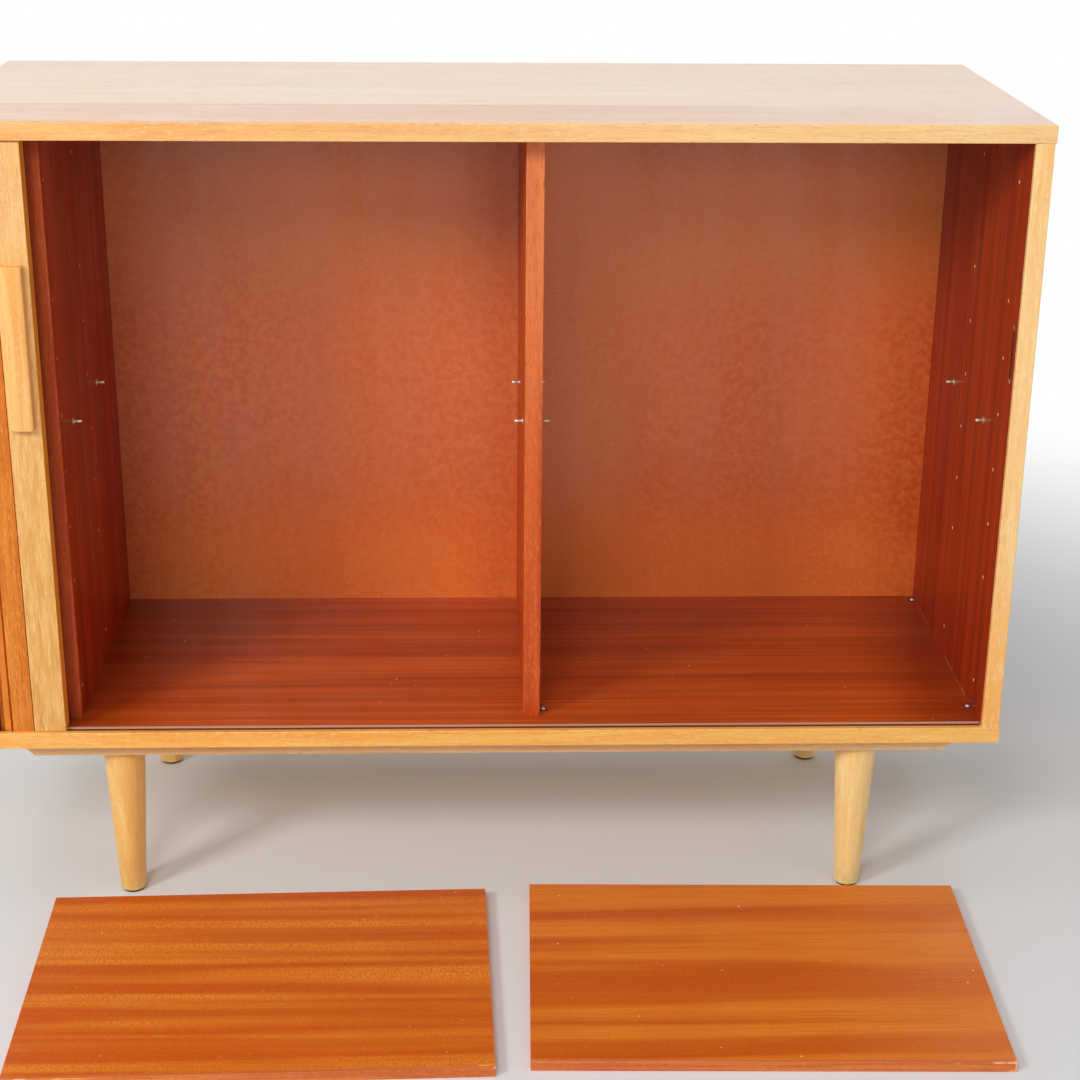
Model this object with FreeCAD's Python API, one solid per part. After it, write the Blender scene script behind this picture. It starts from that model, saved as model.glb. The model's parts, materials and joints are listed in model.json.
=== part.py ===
"""Oak storage cabinet with a roll-front door, two bays and two loose shelves.

Millimetres, +Z up, +X to the viewer's right, +Y away from the viewer.
The cabinet stands on the plane Z = 0 and its two shelves lie on that plane in
front of it.  The origin is the middle of the whole set's footprint.
Each named sub-part is written to its own STEP file in the folder parts.
"""

import FreeCAD, Part

import math
import os

Vec = FreeCAD.Vector

# Carcass: the box of boards
carcass_width = 1200.0
carcass_depth = 457.0
carcass_height = 727.5
top_board = 19.5
bottom_board = 20.0
side_board = 20.5
side_setback = 1.5
lipping = 6.3
edge_round = 1.2

# Uprights inside the carcass
divider_board = 20.3
divider_catch_clearance = 10.7
partition_board = 20.3
partition_catch_clearance = 12.9
pocket_width = 73.0
upright_lipping = 6.0

# Backs
false_back_board = 4.0
false_back_housing = 5.0
rear_panel_board = 5.0
rear_rebate = 8.0

# Track that the curtain's tongues run in
track_width = 5.9
bottom_track_depth = 7.0
top_track_depth = 9.5
track_strip_width = 4.85
track_end_room = 0.3
front_turn_canvas_radius = 9.75
rear_turn_canvas_radius = 21.75
turn_clearance = 0.34
rear_track_margin = 12.0
rear_track_room = 19.0
strip_turn_room = 12.0
track_tail_room = 16.0

# Curtain of slats
slat_pitch = 8.0
slat_joint = 0.3
slat_thickness = 8.0
slat_tongue = 5.4
slat_floor_gap = 0.8
slat_ceiling_gap = 2.5
tongue_lift = 0.3
top_tongue_room = 3.0
curtain_stile_joint = 1.0
curtain_tail = 30.0
canvas_thickness = 0.6
canvas_gap = 0.05
canvas_margin = 8.0

# Leading stile, handle and catch
stile_width = 36.5
stile_thickness = 20.0
stile_proud = 1.3
stile_open_offset = 12.5
stile_close_gap = 0.5
stile_round = 1.0
stile_rear_end_round = 3.5
handle_left_margin = 2.9
handle_right_margin = 6.0
handle_height = 184.0
handle_thickness = 12.0
handle_centre_share = 0.6721
handle_round = 2.5
handle_screw_inset = 22.0
handle_screw_radius = 2.0
handle_screw_cover = 4.0
catch_drop = 12.2
catch_width = 24.0
catch_wall = 2.9
catch_end_wall = 4.0
catch_ear_length = 9.0
catch_ear_thickness = 3.0
catch_cover = 2.0
magnet_depth = 5.0
magnet_length = 10.0
magnet_height = 36.0
catch_screw_radius = 1.5
catch_screw_cover = 5.2
keeper_height = 69.0
keeper_width = 8.0
keeper_thickness = 1.2
keeper_stile_inset = 3.6
keeper_screw_inset = 3.7
keeper_screw_radius = 1.6
keeper_screw_cover = 8.5

# Peg holes and shelf pins
peg_bottom_margin = 36.2
peg_top_margin = 51.5
peg_steps = (0, 2, 3, 4, 5, 6, 7, 9)
peg_row_shares = (0.047, 0.4935)
peg_hole_radius = 2.4
peg_web = 3.3
pin_row_shares = (0.209, 0.637)
pin_shank_radius = 2.5
pin_end_room = 0.5
pin_collar_radius = 4.3
pin_collar_thickness = 1.2
pin_neck_radius = 2.0
pin_neck_length = 1.8
pin_barrel_radius = 2.9
pin_barrel_length = 7.4
pin_tip_round = 1.2

# Corner brackets on the bay floor
bracket_floor_leg = 9.5
bracket_wall_leg = 11.5
bracket_width = 12.0
bracket_thickness = 1.2
bracket_row_shares = (0.05, 0.954)
bracket_floor_hole_offset = 4.3
bracket_wall_hole_offset = 7.6
bracket_screw_radius = 1.4
bracket_screw_length = 9.0
bracket_head_radius = 2.9
bracket_head_height = 1.6

# Shelves, taken out and laid on the floor in front
shelf_side_clearance = 2.7
shelf_back_clearance = 2.4
shelf_board = 12.0
shelf_lipping = 5.0
shelf_round = 0.8
left_shelf_shift = 39.6
left_shelf_leg_gap = 23.0
left_shelf_turn = 1.35
right_shelf_shift = 16.8
right_shelf_leg_gap = 13.1
right_shelf_turn = -1.33

# Base
leg_height = 198.5
base_rail_height = 20.0
base_rail_depth = 60.0
base_rail_inset = 22.0
base_rail_end_inset = 60.0
leg_end_inset = 99.0
leg_rail_offset = 5.0
leg_top_radius = 25.0
leg_foot_radius = 15.2
pad_radius = 13.0
pad_thickness = 3.0
leg_bolt_radius = 4.0
leg_bolt_in_leg = 32.0
leg_bolt_cover = 5.0
rail_screw_radius = 2.2
rail_screw_cover = 8.0
rail_screw_shares = (-0.46, -0.16, 0.16, 0.46)

# Fasteners shared by several boards
screw_head_factor = 2.0
screw_head_share = 0.55
dowel_radius = 4.0
dowel_cover = 7.5
dowel_in_upright = 18.0
side_dowel_shares = (0.18, 0.39, 0.61, 0.80)
upright_dowel_shares = (0.15, 0.50, 0.85)
rear_screw_radius = 1.6
rear_screw_bite = 10.0
rear_screw_row_shares = (0.04, 0.27, 0.50, 0.73, 0.96)
rear_screw_column_shares = (0.25, 0.50, 0.75)
cut_overrun = 1.0

# Places worked out from the sizes above
carcass_bottom = leg_height + base_rail_height
floor_z = carcass_bottom + bottom_board
carcass_top = carcass_bottom + carcass_height
ceiling_z = carcass_top - top_board
bay_height = ceiling_z - floor_z
half_width = carcass_width / 2
side_inner_x = half_width - side_setback - side_board
partition_left_x = -side_inner_x + pocket_width
partition_right_x = partition_left_x + partition_board
divider_centre_x = (partition_right_x + side_inner_x) / 2
divider_left_x = divider_centre_x - divider_board / 2
divider_right_x = divider_centre_x + divider_board / 2
bay_width = side_inner_x - divider_right_x

# Depths behind the front plane of the stile, the catch, the uprights and the rear chase
track_play = (track_width - slat_tongue) / 2
canvas_offset = track_play + slat_thickness
stile_reach = lipping - stile_proud + stile_thickness
divider_recess = stile_reach + catch_ear_thickness + divider_catch_clearance
partition_recess = stile_reach + catch_ear_thickness + partition_catch_clearance
curtain_depth = canvas_offset + canvas_gap + canvas_thickness
rear_cavity = rear_track_room + curtain_depth + rear_track_margin
rear_chase_depth = false_back_board + rear_cavity + rear_panel_board
bay_depth = carcass_depth - rear_chase_depth - divider_recess

# The track's turns; a slat's flat inner face cuts inside the canvas line by the sagitta
front_turn_radius = canvas_offset + front_turn_canvas_radius
rear_turn_radius = canvas_offset + rear_turn_canvas_radius
slat_sagitta = front_turn_canvas_radius - math.sqrt(front_turn_canvas_radius ** 2 - (slat_pitch / 2) ** 2)
turn_relief = slat_sagitta + turn_clearance

# Peg holes, shelf pins and the pieces at the stile's middle
peg_pitch = (bay_height - peg_bottom_margin - peg_top_margin) / peg_steps[-1]
peg_hole_depth = (divider_board - peg_web) / 2
pin_shank_length = peg_hole_depth - pin_end_room
pin_z = floor_z + bay_height / 2
handle_width = stile_width - handle_left_margin - handle_right_margin
handle_centre_z = floor_z + handle_centre_share * bay_height
catch_centre_z = handle_centre_z - catch_drop
catch_body_height = magnet_height + 2 * catch_end_wall

# Base and loose shelves
base_rail_length = carcass_width - 2 * base_rail_end_inset
leg_span = base_rail_length - 2 * leg_end_inset
leg_inset = base_rail_inset + base_rail_depth / 2 + leg_rail_offset
shelf_width = bay_width - shelf_side_clearance
shelf_depth = bay_depth - shelf_back_clearance
left_shelf_x = (partition_right_x + divider_left_x) / 2 - left_shelf_shift
right_shelf_x = (divider_right_x + side_inner_x) / 2 - right_shelf_shift
left_shelf_back_gap = leg_inset - leg_foot_radius - left_shelf_leg_gap
right_shelf_back_gap = leg_inset - leg_foot_radius - right_shelf_leg_gap


def shelf_reach(back_gap, turn):
    """How far a turned shelf's foremost corner lies in front of the carcass."""
    angle = math.radians(abs(turn))
    half_across = shelf_width / 2 * math.sin(angle)
    return shelf_depth * math.cos(angle) + half_across - back_gap


front_reach = max(
    shelf_reach(left_shelf_back_gap, left_shelf_turn),
    shelf_reach(right_shelf_back_gap, right_shelf_turn),
)
front_y = (front_reach - carcass_depth) / 2
rear_y = front_y + carcass_depth
false_back_y = rear_y - rear_chase_depth
divider_front_y = front_y + divider_recess
partition_front_y = front_y + partition_recess

# The track's outer wall, and the line of the canvas on the slats' inner face
track_front_y = front_y + lipping
track_left_x = -side_inner_x
track_rear_y = rear_y - rear_panel_board - rear_track_margin

# Heights of the slats and the stile
slat_low = floor_z + slat_floor_gap
slat_high = ceiling_z - slat_ceiling_gap
tongue_low = floor_z - bottom_track_depth + tongue_lift
tongue_high = ceiling_z + top_track_depth - top_tongue_room

# The stile stands open beside the partition and shuts against the right side
stile_right_x = partition_right_x - stile_open_offset
stile_left_x = stile_right_x - stile_width
stile_front_y = track_front_y - stile_proud
stile_rear_y = stile_front_y + stile_thickness
door_travel = side_inner_x - stile_close_gap - stile_right_x


def box(x0, x1, y0, y1, z0, z1):
    """A box between two corners."""
    return Part.makeBox(x1 - x0, y1 - y0, z1 - z0, Vec(x0, y0, z0))


def rod(radius, start, along, length):
    """A round rod from a start point along a direction."""
    return Part.makeCylinder(radius, length, start, along)


def eased(solid, radius, wanted):
    """Round the straight edges whose middle point passes a test."""
    edges = [e for e in solid.Edges if wanted(e.CenterOfMass)]
    return solid.makeFillet(radius, edges)


def near(a, b):
    """Whether two coordinates are the same to within a small part of a rounding."""
    return abs(a - b) < edge_round / 100


def countersunk_screw(radius, head_seat, along, length):
    """A screw whose flat head lies level with a surface."""
    head_radius = radius * screw_head_factor
    head_depth = head_radius * screw_head_share
    head = Part.makeCone(head_radius, radius, head_depth, head_seat, along)
    shank = rod(radius, head_seat, along, length)
    return head.fuse(shank).removeSplitter()


def pan_screw(radius, seat, along, length, head_radius, head_height):
    """A screw whose round head stands on a surface."""
    head_base = seat - along * head_height
    head = rod(head_radius, head_base, along, head_height)
    shank = rod(radius, seat, along, length)
    rounded = eased(head, head_height / 2, lambda p: (p - head_base).Length < head_height / 2)
    return rounded.fuse(shank).removeSplitter()


def group(solids):
    """Several separate solids in one shape."""
    return Part.makeCompound(solids)


def left_and_right(x):
    """The same distance on both sides of the middle."""
    return (-x, x)


def side_centre_x():
    """Middle of a side board's thickness, to the right of the centre."""
    return side_inner_x + side_board / 2


def dowel_pair(x, y):
    """The two dowels above each other that hold an upright's ends."""
    low_length = bottom_board - dowel_cover + dowel_in_upright
    high_length = top_board - dowel_cover + dowel_in_upright
    low = rod(dowel_radius, Vec(x, y, carcass_bottom + dowel_cover), Vec(0, 0, 1), low_length)
    high = rod(dowel_radius, Vec(x, y, carcass_top - dowel_cover), Vec(0, 0, -1), high_length)
    return [low, high]


def side_dowels():
    """Dowels between the side boards and the top and bottom boards."""
    rods = []
    for x in left_and_right(side_centre_x()):
        for share in side_dowel_shares:
            rods += dowel_pair(x, front_y + share * carcass_depth)
    return rods


def upright_dowels(x, upright_front_y):
    """Dowels of one inner upright."""
    rods = []
    for share in upright_dowel_shares:
        rods += dowel_pair(x, upright_front_y + share * (false_back_y - upright_front_y))
    return rods


def partition_dowels():
    """Dowels of the partition beside the curtain's pocket."""
    return upright_dowels((partition_left_x + partition_right_x) / 2, partition_front_y)


def divider_dowels():
    """Dowels of the divider between the bays."""
    return upright_dowels(divider_centre_x, divider_front_y)


def ring_quarter(centre, inner, outer, side_x, side_y, z0, z1):
    """A quarter of a flat ring, in the corner that two signs point to."""
    ring = rod(outer, Vec(centre.x, centre.y, z0), Vec(0, 0, 1), z1 - z0)
    if inner > 0:
        bore = rod(inner, Vec(centre.x, centre.y, z0 - cut_overrun), Vec(0, 0, 1), z1 - z0 + 2 * cut_overrun)
        ring = ring.cut(bore)
    xs = sorted((centre.x, centre.x + side_x * outer))
    ys = sorted((centre.y, centre.y + side_y * outer))
    return ring.common(box(xs[0], xs[1], ys[0], ys[1], z0, z1))


def front_turn_centre():
    """Centre of the track's turn at the front left."""
    return Vec(track_left_x + front_turn_radius, track_front_y + front_turn_radius, 0)


def rear_turn_centre():
    """Centre of the track's turn at the rear left."""
    return Vec(track_left_x + rear_turn_radius, track_rear_y - rear_turn_radius, 0)


def track_groove(z0, z1):
    """The groove that is cut into the bottom or the top board."""
    front_centre = front_turn_centre()
    rear_centre = rear_turn_centre()
    tail_x = curtain_path_point(curtain_length()).x + track_tail_room
    strip_rear_y = track_front_y + track_width + track_strip_width
    eased_width = track_width + turn_relief
    right_x = side_inner_x + track_end_room
    pieces = [
        box(front_centre.x, right_x, track_front_y, track_front_y + track_width, z0, z1),
        box(strip_left_x(), right_x, track_front_y, strip_rear_y, z0, z1),
        box(track_left_x, track_left_x + track_width, front_centre.y, rear_centre.y, z0, z1),
        box(rear_centre.x, tail_x, track_rear_y - track_width, track_rear_y, z0, z1),
        ring_quarter(front_centre, front_turn_radius - eased_width, front_turn_radius, -1, -1, z0, z1),
        ring_quarter(rear_centre, rear_turn_radius - eased_width, rear_turn_radius, -1, 1, z0, z1),
        box(front_centre.x, front_centre.x + slat_pitch, track_front_y, track_front_y + eased_width, z0, z1),
        box(track_left_x, track_left_x + eased_width, front_centre.y, front_centre.y + slat_pitch, z0, z1),
        box(track_left_x, track_left_x + eased_width, rear_centre.y - slat_pitch, rear_centre.y, z0, z1),
        box(rear_centre.x, rear_centre.x + slat_pitch, track_rear_y - eased_width, track_rear_y, z0, z1),
    ]
    return pieces[0].multiFuse(pieces[1:])


def strip_left_x():
    """Where the hardwood strip behind the front groove starts."""
    return front_turn_centre().x + slat_pitch + strip_turn_room


def track_strip(z0, z1):
    """The strip that lines the rear of the front groove."""
    strip_front_y = track_front_y + track_width
    return box(
        strip_left_x(), side_inner_x + track_end_room,
        strip_front_y, strip_front_y + track_strip_width, z0, z1,
    )


def curtain_path_parts():
    """Lengths of the canvas line's straight runs and turns, in order."""
    front_centre = front_turn_centre()
    rear_centre = rear_turn_centre()
    front_run = stile_left_x - curtain_stile_joint - front_centre.x
    front_turn = math.pi / 2 * (front_turn_radius - canvas_offset)
    side_run = rear_centre.y - front_centre.y
    rear_turn = math.pi / 2 * (rear_turn_radius - canvas_offset)
    return front_run, front_turn, side_run, rear_turn


def curtain_length():
    """Length of canvas that covers the whole front and leaves a tail in the pocket."""
    front_run, front_turn = curtain_path_parts()[:2]
    wanted = front_run + door_travel + front_turn + curtain_tail
    return math.ceil(wanted / slat_pitch) * slat_pitch


def curtain_path_point(s):
    """Point of the canvas line at a distance from the stile."""
    front_run, front_turn, side_run, rear_turn = curtain_path_parts()
    front_centre = front_turn_centre()
    rear_centre = rear_turn_centre()
    if s < front_run:
        return Vec(front_centre.x + front_run - s, track_front_y + canvas_offset, 0)
    s -= front_run
    if s < front_turn:
        radius = front_turn_radius - canvas_offset
        angle = -math.pi / 2 - s / radius
        return front_centre + Vec(math.cos(angle), math.sin(angle), 0) * radius
    s -= front_turn
    if s < side_run:
        return Vec(track_left_x + canvas_offset, front_centre.y + s, 0)
    s -= side_run
    if s < rear_turn:
        radius = rear_turn_radius - canvas_offset
        angle = math.pi - s / radius
        return rear_centre + Vec(math.cos(angle), math.sin(angle), 0) * radius
    return Vec(rear_centre.x + s - rear_turn, track_rear_y - canvas_offset, 0)


def next_joint(s):
    """Distance along the canvas line of the point one slat further."""
    here = curtain_path_point(s)
    low = s
    high = s + 2 * slat_pitch
    while high - low > slat_pitch / 1000000:
        middle = (low + high) / 2
        if (curtain_path_point(middle) - here).Length < slat_pitch:
            low = middle
        else:
            high = middle
    return high


def curtain_joints():
    """Distances of all slat joints along the canvas line."""
    joints = [0.0]
    while joints[-1] + slat_pitch / 2 < curtain_length():
        joints.append(next_joint(joints[-1]))
    return joints


def prism(outline, z0, z1):
    """Extrude a closed outline of points on the floor plan between two heights."""
    points = [Vec(p.x, p.y, z0) for p in outline]
    wire = Part.makePolygon(points + points[:1])
    return Part.Face(wire).extrude(Vec(0, 0, z1 - z0))


def slat(start, end):
    """One slat with its tongues, between two joints of the canvas line."""
    along = (end - start).normalize()
    outward = Vec(-along.y, along.x, 0)
    first = start + along * (slat_joint / 2)
    width = along * ((end - start).Length - slat_joint)
    tongue_near = slat_thickness - slat_tongue
    profile = (
        (0, slat_low),
        (tongue_near, slat_low),
        (tongue_near, tongue_low),
        (slat_thickness, tongue_low),
        (slat_thickness, tongue_high),
        (tongue_near, tongue_high),
        (tongue_near, slat_high),
        (0, slat_high),
    )
    points = [first + outward * out + Vec(0, 0, z) for out, z in profile]
    return Part.Face(Part.makePolygon(points + points[:1])).extrude(width)


def curtain_slats():
    """All slats, grouped by the stretch of track that they stand in."""
    lengths = curtain_path_parts()
    limits = [sum(lengths[:i + 1]) for i in range(len(lengths))]
    names = ("front", "front_turn", "side", "rear_turn", "back")
    groups = {name: [] for name in names}
    joints = curtain_joints()
    for s0, s1 in zip(joints, joints[1:]):
        middle = (s0 + s1) / 2
        stretch = sum(1 for limit in limits if middle > limit)
        groups[names[stretch]].append(slat(curtain_path_point(s0), curtain_path_point(s1)))
    return {"tambour_slats_" + name: group(solids) for name, solids in groups.items() if solids}


def offset_line(points, inward):
    """Shift a bent line of points sideways, with mitred corners."""
    shifted = []
    for i, point in enumerate(points):
        before = (point - points[i - 1]).normalize() if i else None
        after = (points[i + 1] - point).normalize() if i + 1 < len(points) else None
        along = before or after
        normal = Vec(along.y, -along.x, 0)
        if before and after:
            other = Vec(after.y, -after.x, 0)
            normal = (normal + other) * (1 / (1 + normal.dot(other)))
        shifted.append(point + normal * inward)
    return shifted


def curtain_canvas():
    """The cloth that the slats are glued to, on their inner face."""
    points = [curtain_path_point(s) for s in curtain_joints()]
    kept = [points[0]]
    for before, point, after in zip(points, points[1:], points[2:]):
        turn = (point - before).cross(after - point).Length
        if turn > slat_pitch * slat_pitch / 1000000:
            kept.append(point)
    kept.append(points[-1])
    near_face = offset_line(kept, canvas_gap)
    far_face = offset_line(kept, canvas_gap + canvas_thickness)
    return prism(near_face + far_face[::-1], slat_low + canvas_margin, slat_high - canvas_margin)


def false_back_solid():
    """The inner back, which stands in grooves of the top and bottom boards."""
    return box(
        partition_left_x, side_inner_x,
        false_back_y, false_back_y + false_back_board,
        floor_z - false_back_housing, ceiling_z + false_back_housing,
    )


def rear_panel_solid():
    """The rear panel, which lies in a rebate round the rear edge."""
    return box(
        -side_inner_x - rear_rebate, side_inner_x + rear_rebate,
        rear_y - rear_panel_board, rear_y,
        floor_z - rear_rebate, ceiling_z + rear_rebate,
    )


def rear_panel_screws():
    """Screws round the edge of the rear panel."""
    inset = rear_rebate / 2
    reach = rear_panel_board + rear_screw_bite
    places = []
    for z in (floor_z - inset, ceiling_z + inset):
        places += [(-side_inner_x + share * 2 * side_inner_x, z) for share in rear_screw_row_shares]
    for x in left_and_right(side_inner_x + inset):
        places += [(x, floor_z + share * bay_height) for share in rear_screw_column_shares]
    return [countersunk_screw(rear_screw_radius, Vec(x, rear_y, z), Vec(0, -1, 0), reach) for x, z in places]


def base_rail_y(rear):
    """Front face of the front or the rear base rail."""
    return rear_y - base_rail_inset - base_rail_depth if rear else front_y + base_rail_inset


def base_rail_screws():
    """Screws up through both base rails into the bottom board."""
    length = base_rail_height + bottom_board - rail_screw_cover
    screws = []
    for rear in (False, True):
        y = base_rail_y(rear) + base_rail_depth / 2
        for share in rail_screw_shares:
            seat = Vec(share * base_rail_length, y, leg_height)
            screws.append(countersunk_screw(rail_screw_radius, seat, Vec(0, 0, 1), length))
    return screws


def leg_places():
    """Names and floor positions of the four legs."""
    return {
        "front_left": Vec(-leg_span / 2, front_y + leg_inset, 0),
        "front_right": Vec(leg_span / 2, front_y + leg_inset, 0),
        "rear_left": Vec(-leg_span / 2, rear_y - leg_inset, 0),
        "rear_right": Vec(leg_span / 2, rear_y - leg_inset, 0),
    }


def leg_bolts():
    """Bolts that join each leg's top to its base rail."""
    up = Vec(0, 0, 1)
    start = up * (leg_height - leg_bolt_in_leg)
    length = leg_bolt_in_leg + base_rail_height - leg_bolt_cover
    return [rod(leg_bolt_radius, place + start, up, length) for place in leg_places().values()]


def bracket_places():
    """Corners that carry a bracket: the upright's face, its direction and the depth."""
    depths = [divider_front_y + share * bay_depth for share in bracket_row_shares]
    return {
        "divider": [(divider_right_x, 1, y) for y in depths],
        "right_side": [(side_inner_x, -1, y) for y in depths],
    }


def bracket_screws():
    """One screw down and one screw sideways through each bracket."""
    screws = []
    for corners in bracket_places().values():
        for face_x, way, y in corners:
            down = Vec(face_x + way * bracket_floor_hole_offset, y, floor_z + bracket_thickness)
            across = Vec(face_x + way * bracket_thickness, y, floor_z + bracket_wall_hole_offset)
            for seat, along in ((down, Vec(0, 0, -1)), (across, Vec(-way, 0, 0))):
                screws.append(pan_screw(
                    bracket_screw_radius, seat, along, bracket_screw_length,
                    bracket_head_radius, bracket_head_height,
                ))
    return screws


def corner_bracket(face_x, way, y):
    """An angle of sheet steel in the corner of the floor and an upright."""
    y0 = y - bracket_width / 2
    y1 = y + bracket_width / 2
    leg_xs = sorted((face_x, face_x + way * bracket_floor_leg))
    wall_xs = sorted((face_x, face_x + way * bracket_thickness))
    flat = box(leg_xs[0], leg_xs[1], y0, y1, floor_z, floor_z + bracket_thickness)
    upright = box(wall_xs[0], wall_xs[1], y0, y1, floor_z, floor_z + bracket_wall_leg)
    return flat.fuse(upright).removeSplitter().cut(bracket_screws())


def peg_hole_columns(face_x, way):
    """Blind peg holes in one face of an upright."""
    holes = []
    for share in peg_row_shares:
        for step in peg_steps:
            z = floor_z + peg_bottom_margin + step * peg_pitch
            mouth = Vec(face_x + way * cut_overrun, divider_front_y + share * bay_depth, z)
            holes.append(rod(peg_hole_radius, mouth, Vec(-way, 0, 0), peg_hole_depth + cut_overrun))
    return holes


def shelf_pin(face_x, way, y):
    """A steel pin with a collar, standing out of an upright's face."""
    out = Vec(way, 0, 0)
    wall = Vec(face_x, y, pin_z)
    neck_start = wall + out * pin_collar_thickness
    barrel_start = neck_start + out * pin_neck_length
    tip = barrel_start + out * pin_barrel_length
    barrel = rod(pin_barrel_radius, barrel_start, out, pin_barrel_length)
    barrel = eased(barrel, pin_tip_round, lambda p: (p - tip).Length < pin_barrel_length / 4)
    shank = rod(pin_shank_radius, wall, Vec(-way, 0, 0), pin_shank_length)
    collar = rod(pin_collar_radius, wall, out, pin_collar_thickness)
    neck = rod(pin_neck_radius, neck_start, out, pin_neck_length)
    return shank.multiFuse([collar, neck, barrel]).removeSplitter()


def pin_faces():
    """Faces that carry shelf pins, and the way that the pins point."""
    return {
        "partition": (partition_right_x, 1),
        "divider_left": (divider_left_x, -1),
        "divider_right": (divider_right_x, 1),
        "right_side": (side_inner_x, -1),
    }


def pins_on(face_x, way):
    """The two pins on one face."""
    return [shelf_pin(face_x, way, divider_front_y + share * bay_depth) for share in pin_row_shares]


def keeper_centre_y():
    """Middle of the keeper plate, and of the magnet inside the closed stile's edge."""
    return stile_rear_y - keeper_stile_inset


def keeper_screws():
    """The keeper plate's two screws."""
    reach = keeper_height / 2 - keeper_screw_inset
    length = side_board - keeper_screw_cover
    seats = [Vec(side_inner_x, keeper_centre_y(), catch_centre_z + z) for z in (-reach, reach)]
    return [countersunk_screw(keeper_screw_radius, seat, Vec(1, 0, 0), length) for seat in seats]


def keeper_blank():
    """The keeper plate before its screw holes, let into the side board up to its face."""
    y = keeper_centre_y()
    plate = box(
        side_inner_x, side_inner_x + keeper_thickness,
        y - keeper_width / 2, y + keeper_width / 2,
        catch_centre_z - keeper_height / 2, catch_centre_z + keeper_height / 2,
    )
    return eased(plate, keeper_width / 4, lambda p: near(p.x, side_inner_x + keeper_thickness / 2))


def keeper_plate_solid():
    """The steel plate that the magnet holds to."""
    return keeper_blank().cut(keeper_screws())


def catch_right_x():
    """Right end of the catch's housing, behind a thin wall of the stile's edge."""
    return stile_right_x - catch_cover


def catch_screws():
    """Two screws through the catch's ears into the stile."""
    x = catch_right_x() - catch_width / 2
    y = stile_rear_y + catch_ear_thickness
    reach = catch_body_height / 2 + catch_ear_length / 2
    length = catch_ear_thickness + stile_thickness - catch_screw_cover
    seats = [Vec(x, y, catch_centre_z + z) for z in (-reach, reach)]
    return [countersunk_screw(catch_screw_radius, seat, Vec(0, -1, 0), length) for seat in seats]


def catch_magnet_solid():
    """The magnet bar at the housing's right end."""
    right = catch_right_x()
    y = keeper_centre_y()
    return box(
        right - magnet_length, right,
        y - magnet_depth / 2, y + magnet_depth / 2,
        catch_centre_z - magnet_height / 2, catch_centre_z + magnet_height / 2,
    )


def catch_mortise():
    """The pocket in the stile's rear face that takes the housing."""
    right = catch_right_x()
    return box(
        right - catch_width, right,
        keeper_centre_y() - magnet_depth / 2 - catch_wall, stile_rear_y,
        catch_centre_z - catch_body_height / 2, catch_centre_z + catch_body_height / 2,
    )


def catch_body_solid():
    """The housing in the stile, with a plate over the pocket and an ear above and below."""
    right = catch_right_x()
    reach = catch_body_height / 2 + catch_ear_length
    plate = box(
        right - catch_width, right, stile_rear_y, stile_rear_y + catch_ear_thickness,
        catch_centre_z - reach, catch_centre_z + reach,
    )
    plate = eased(plate, edge_round, lambda p: near(p.y, stile_rear_y + catch_ear_thickness))
    return plate.fuse(catch_mortise()).removeSplitter().cut([catch_magnet_solid()] + catch_screws())


def handle_screws():
    """Two screws from behind, through the stile into the handle."""
    x = stile_left_x + handle_left_margin + handle_width / 2
    reach = handle_height / 2 - handle_screw_inset
    length = stile_thickness + handle_thickness - handle_screw_cover
    seats = [Vec(x, stile_rear_y, handle_centre_z + z) for z in (-reach, reach)]
    return [countersunk_screw(handle_screw_radius, seat, Vec(0, -1, 0), length) for seat in seats]


def handle_solid():
    """The oak grip on the face of the stile."""
    left = stile_left_x + handle_left_margin
    grip = box(
        left, left + handle_width,
        stile_front_y - handle_thickness, stile_front_y,
        handle_centre_z - handle_height / 2, handle_centre_z + handle_height / 2,
    )
    grip = eased(grip, handle_round, lambda p: near(p.y, stile_front_y - handle_thickness / 2))
    grip = eased(grip, handle_round / 2, lambda p: near(p.y, stile_front_y - handle_thickness))
    return grip.cut(handle_screws())


def lead_stile_solid():
    """The oak bar at the curtain's leading edge, with a tongue at each end."""
    body = box(stile_left_x, stile_right_x, stile_front_y, stile_rear_y, slat_low, slat_high)
    middle_z = (slat_low + slat_high) / 2
    body = eased(body, stile_round, lambda p: near(p.y, stile_front_y) and near(p.z, middle_z))
    body = eased(body, stile_rear_end_round, lambda p: near(p.y, stile_rear_y) and not near(p.z, middle_z))
    tongue = box(
        stile_left_x, stile_right_x,
        track_front_y + track_play, track_front_y + track_play + slat_tongue,
        tongue_low, tongue_high,
    )
    return body.fuse(tongue).removeSplitter().cut(handle_screws() + catch_screws() + [catch_mortise()])


def cap_board(z0, z1, outer_z):
    """The top or the bottom board behind its lipping, with eased outer edges."""
    board = box(-half_width, half_width, track_front_y, rear_y, z0, z1)
    return eased(board, edge_round, lambda p: outer_edge(p, outer_z) and not near(p.y, track_front_y))


def outer_edge(point, outer_z):
    """Whether an edge's middle lies on a board's outer face or at its two ends."""
    at_end = near(abs(point.x), half_width) and not near(point.y, rear_y)
    return near(point.z, outer_z) or at_end


def cap_lipping(z0, z1):
    """The oak strip on the front edge of the top or the bottom board."""
    strip = box(-half_width, half_width, front_y, track_front_y, z0, z1)
    return eased(strip, edge_round, lipping_outer_edge)


def lipping_outer_edge(point):
    """Whether an edge's middle lies on a cap lipping's front or on its two ends."""
    at_end = near(abs(point.x), half_width) and point.y < track_front_y - edge_round
    return near(point.y, front_y) or at_end


def side_board_solid(x0, x1):
    """A side board behind its lipping."""
    return box(x0, x1, track_front_y, rear_y, floor_z, ceiling_z)


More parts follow.
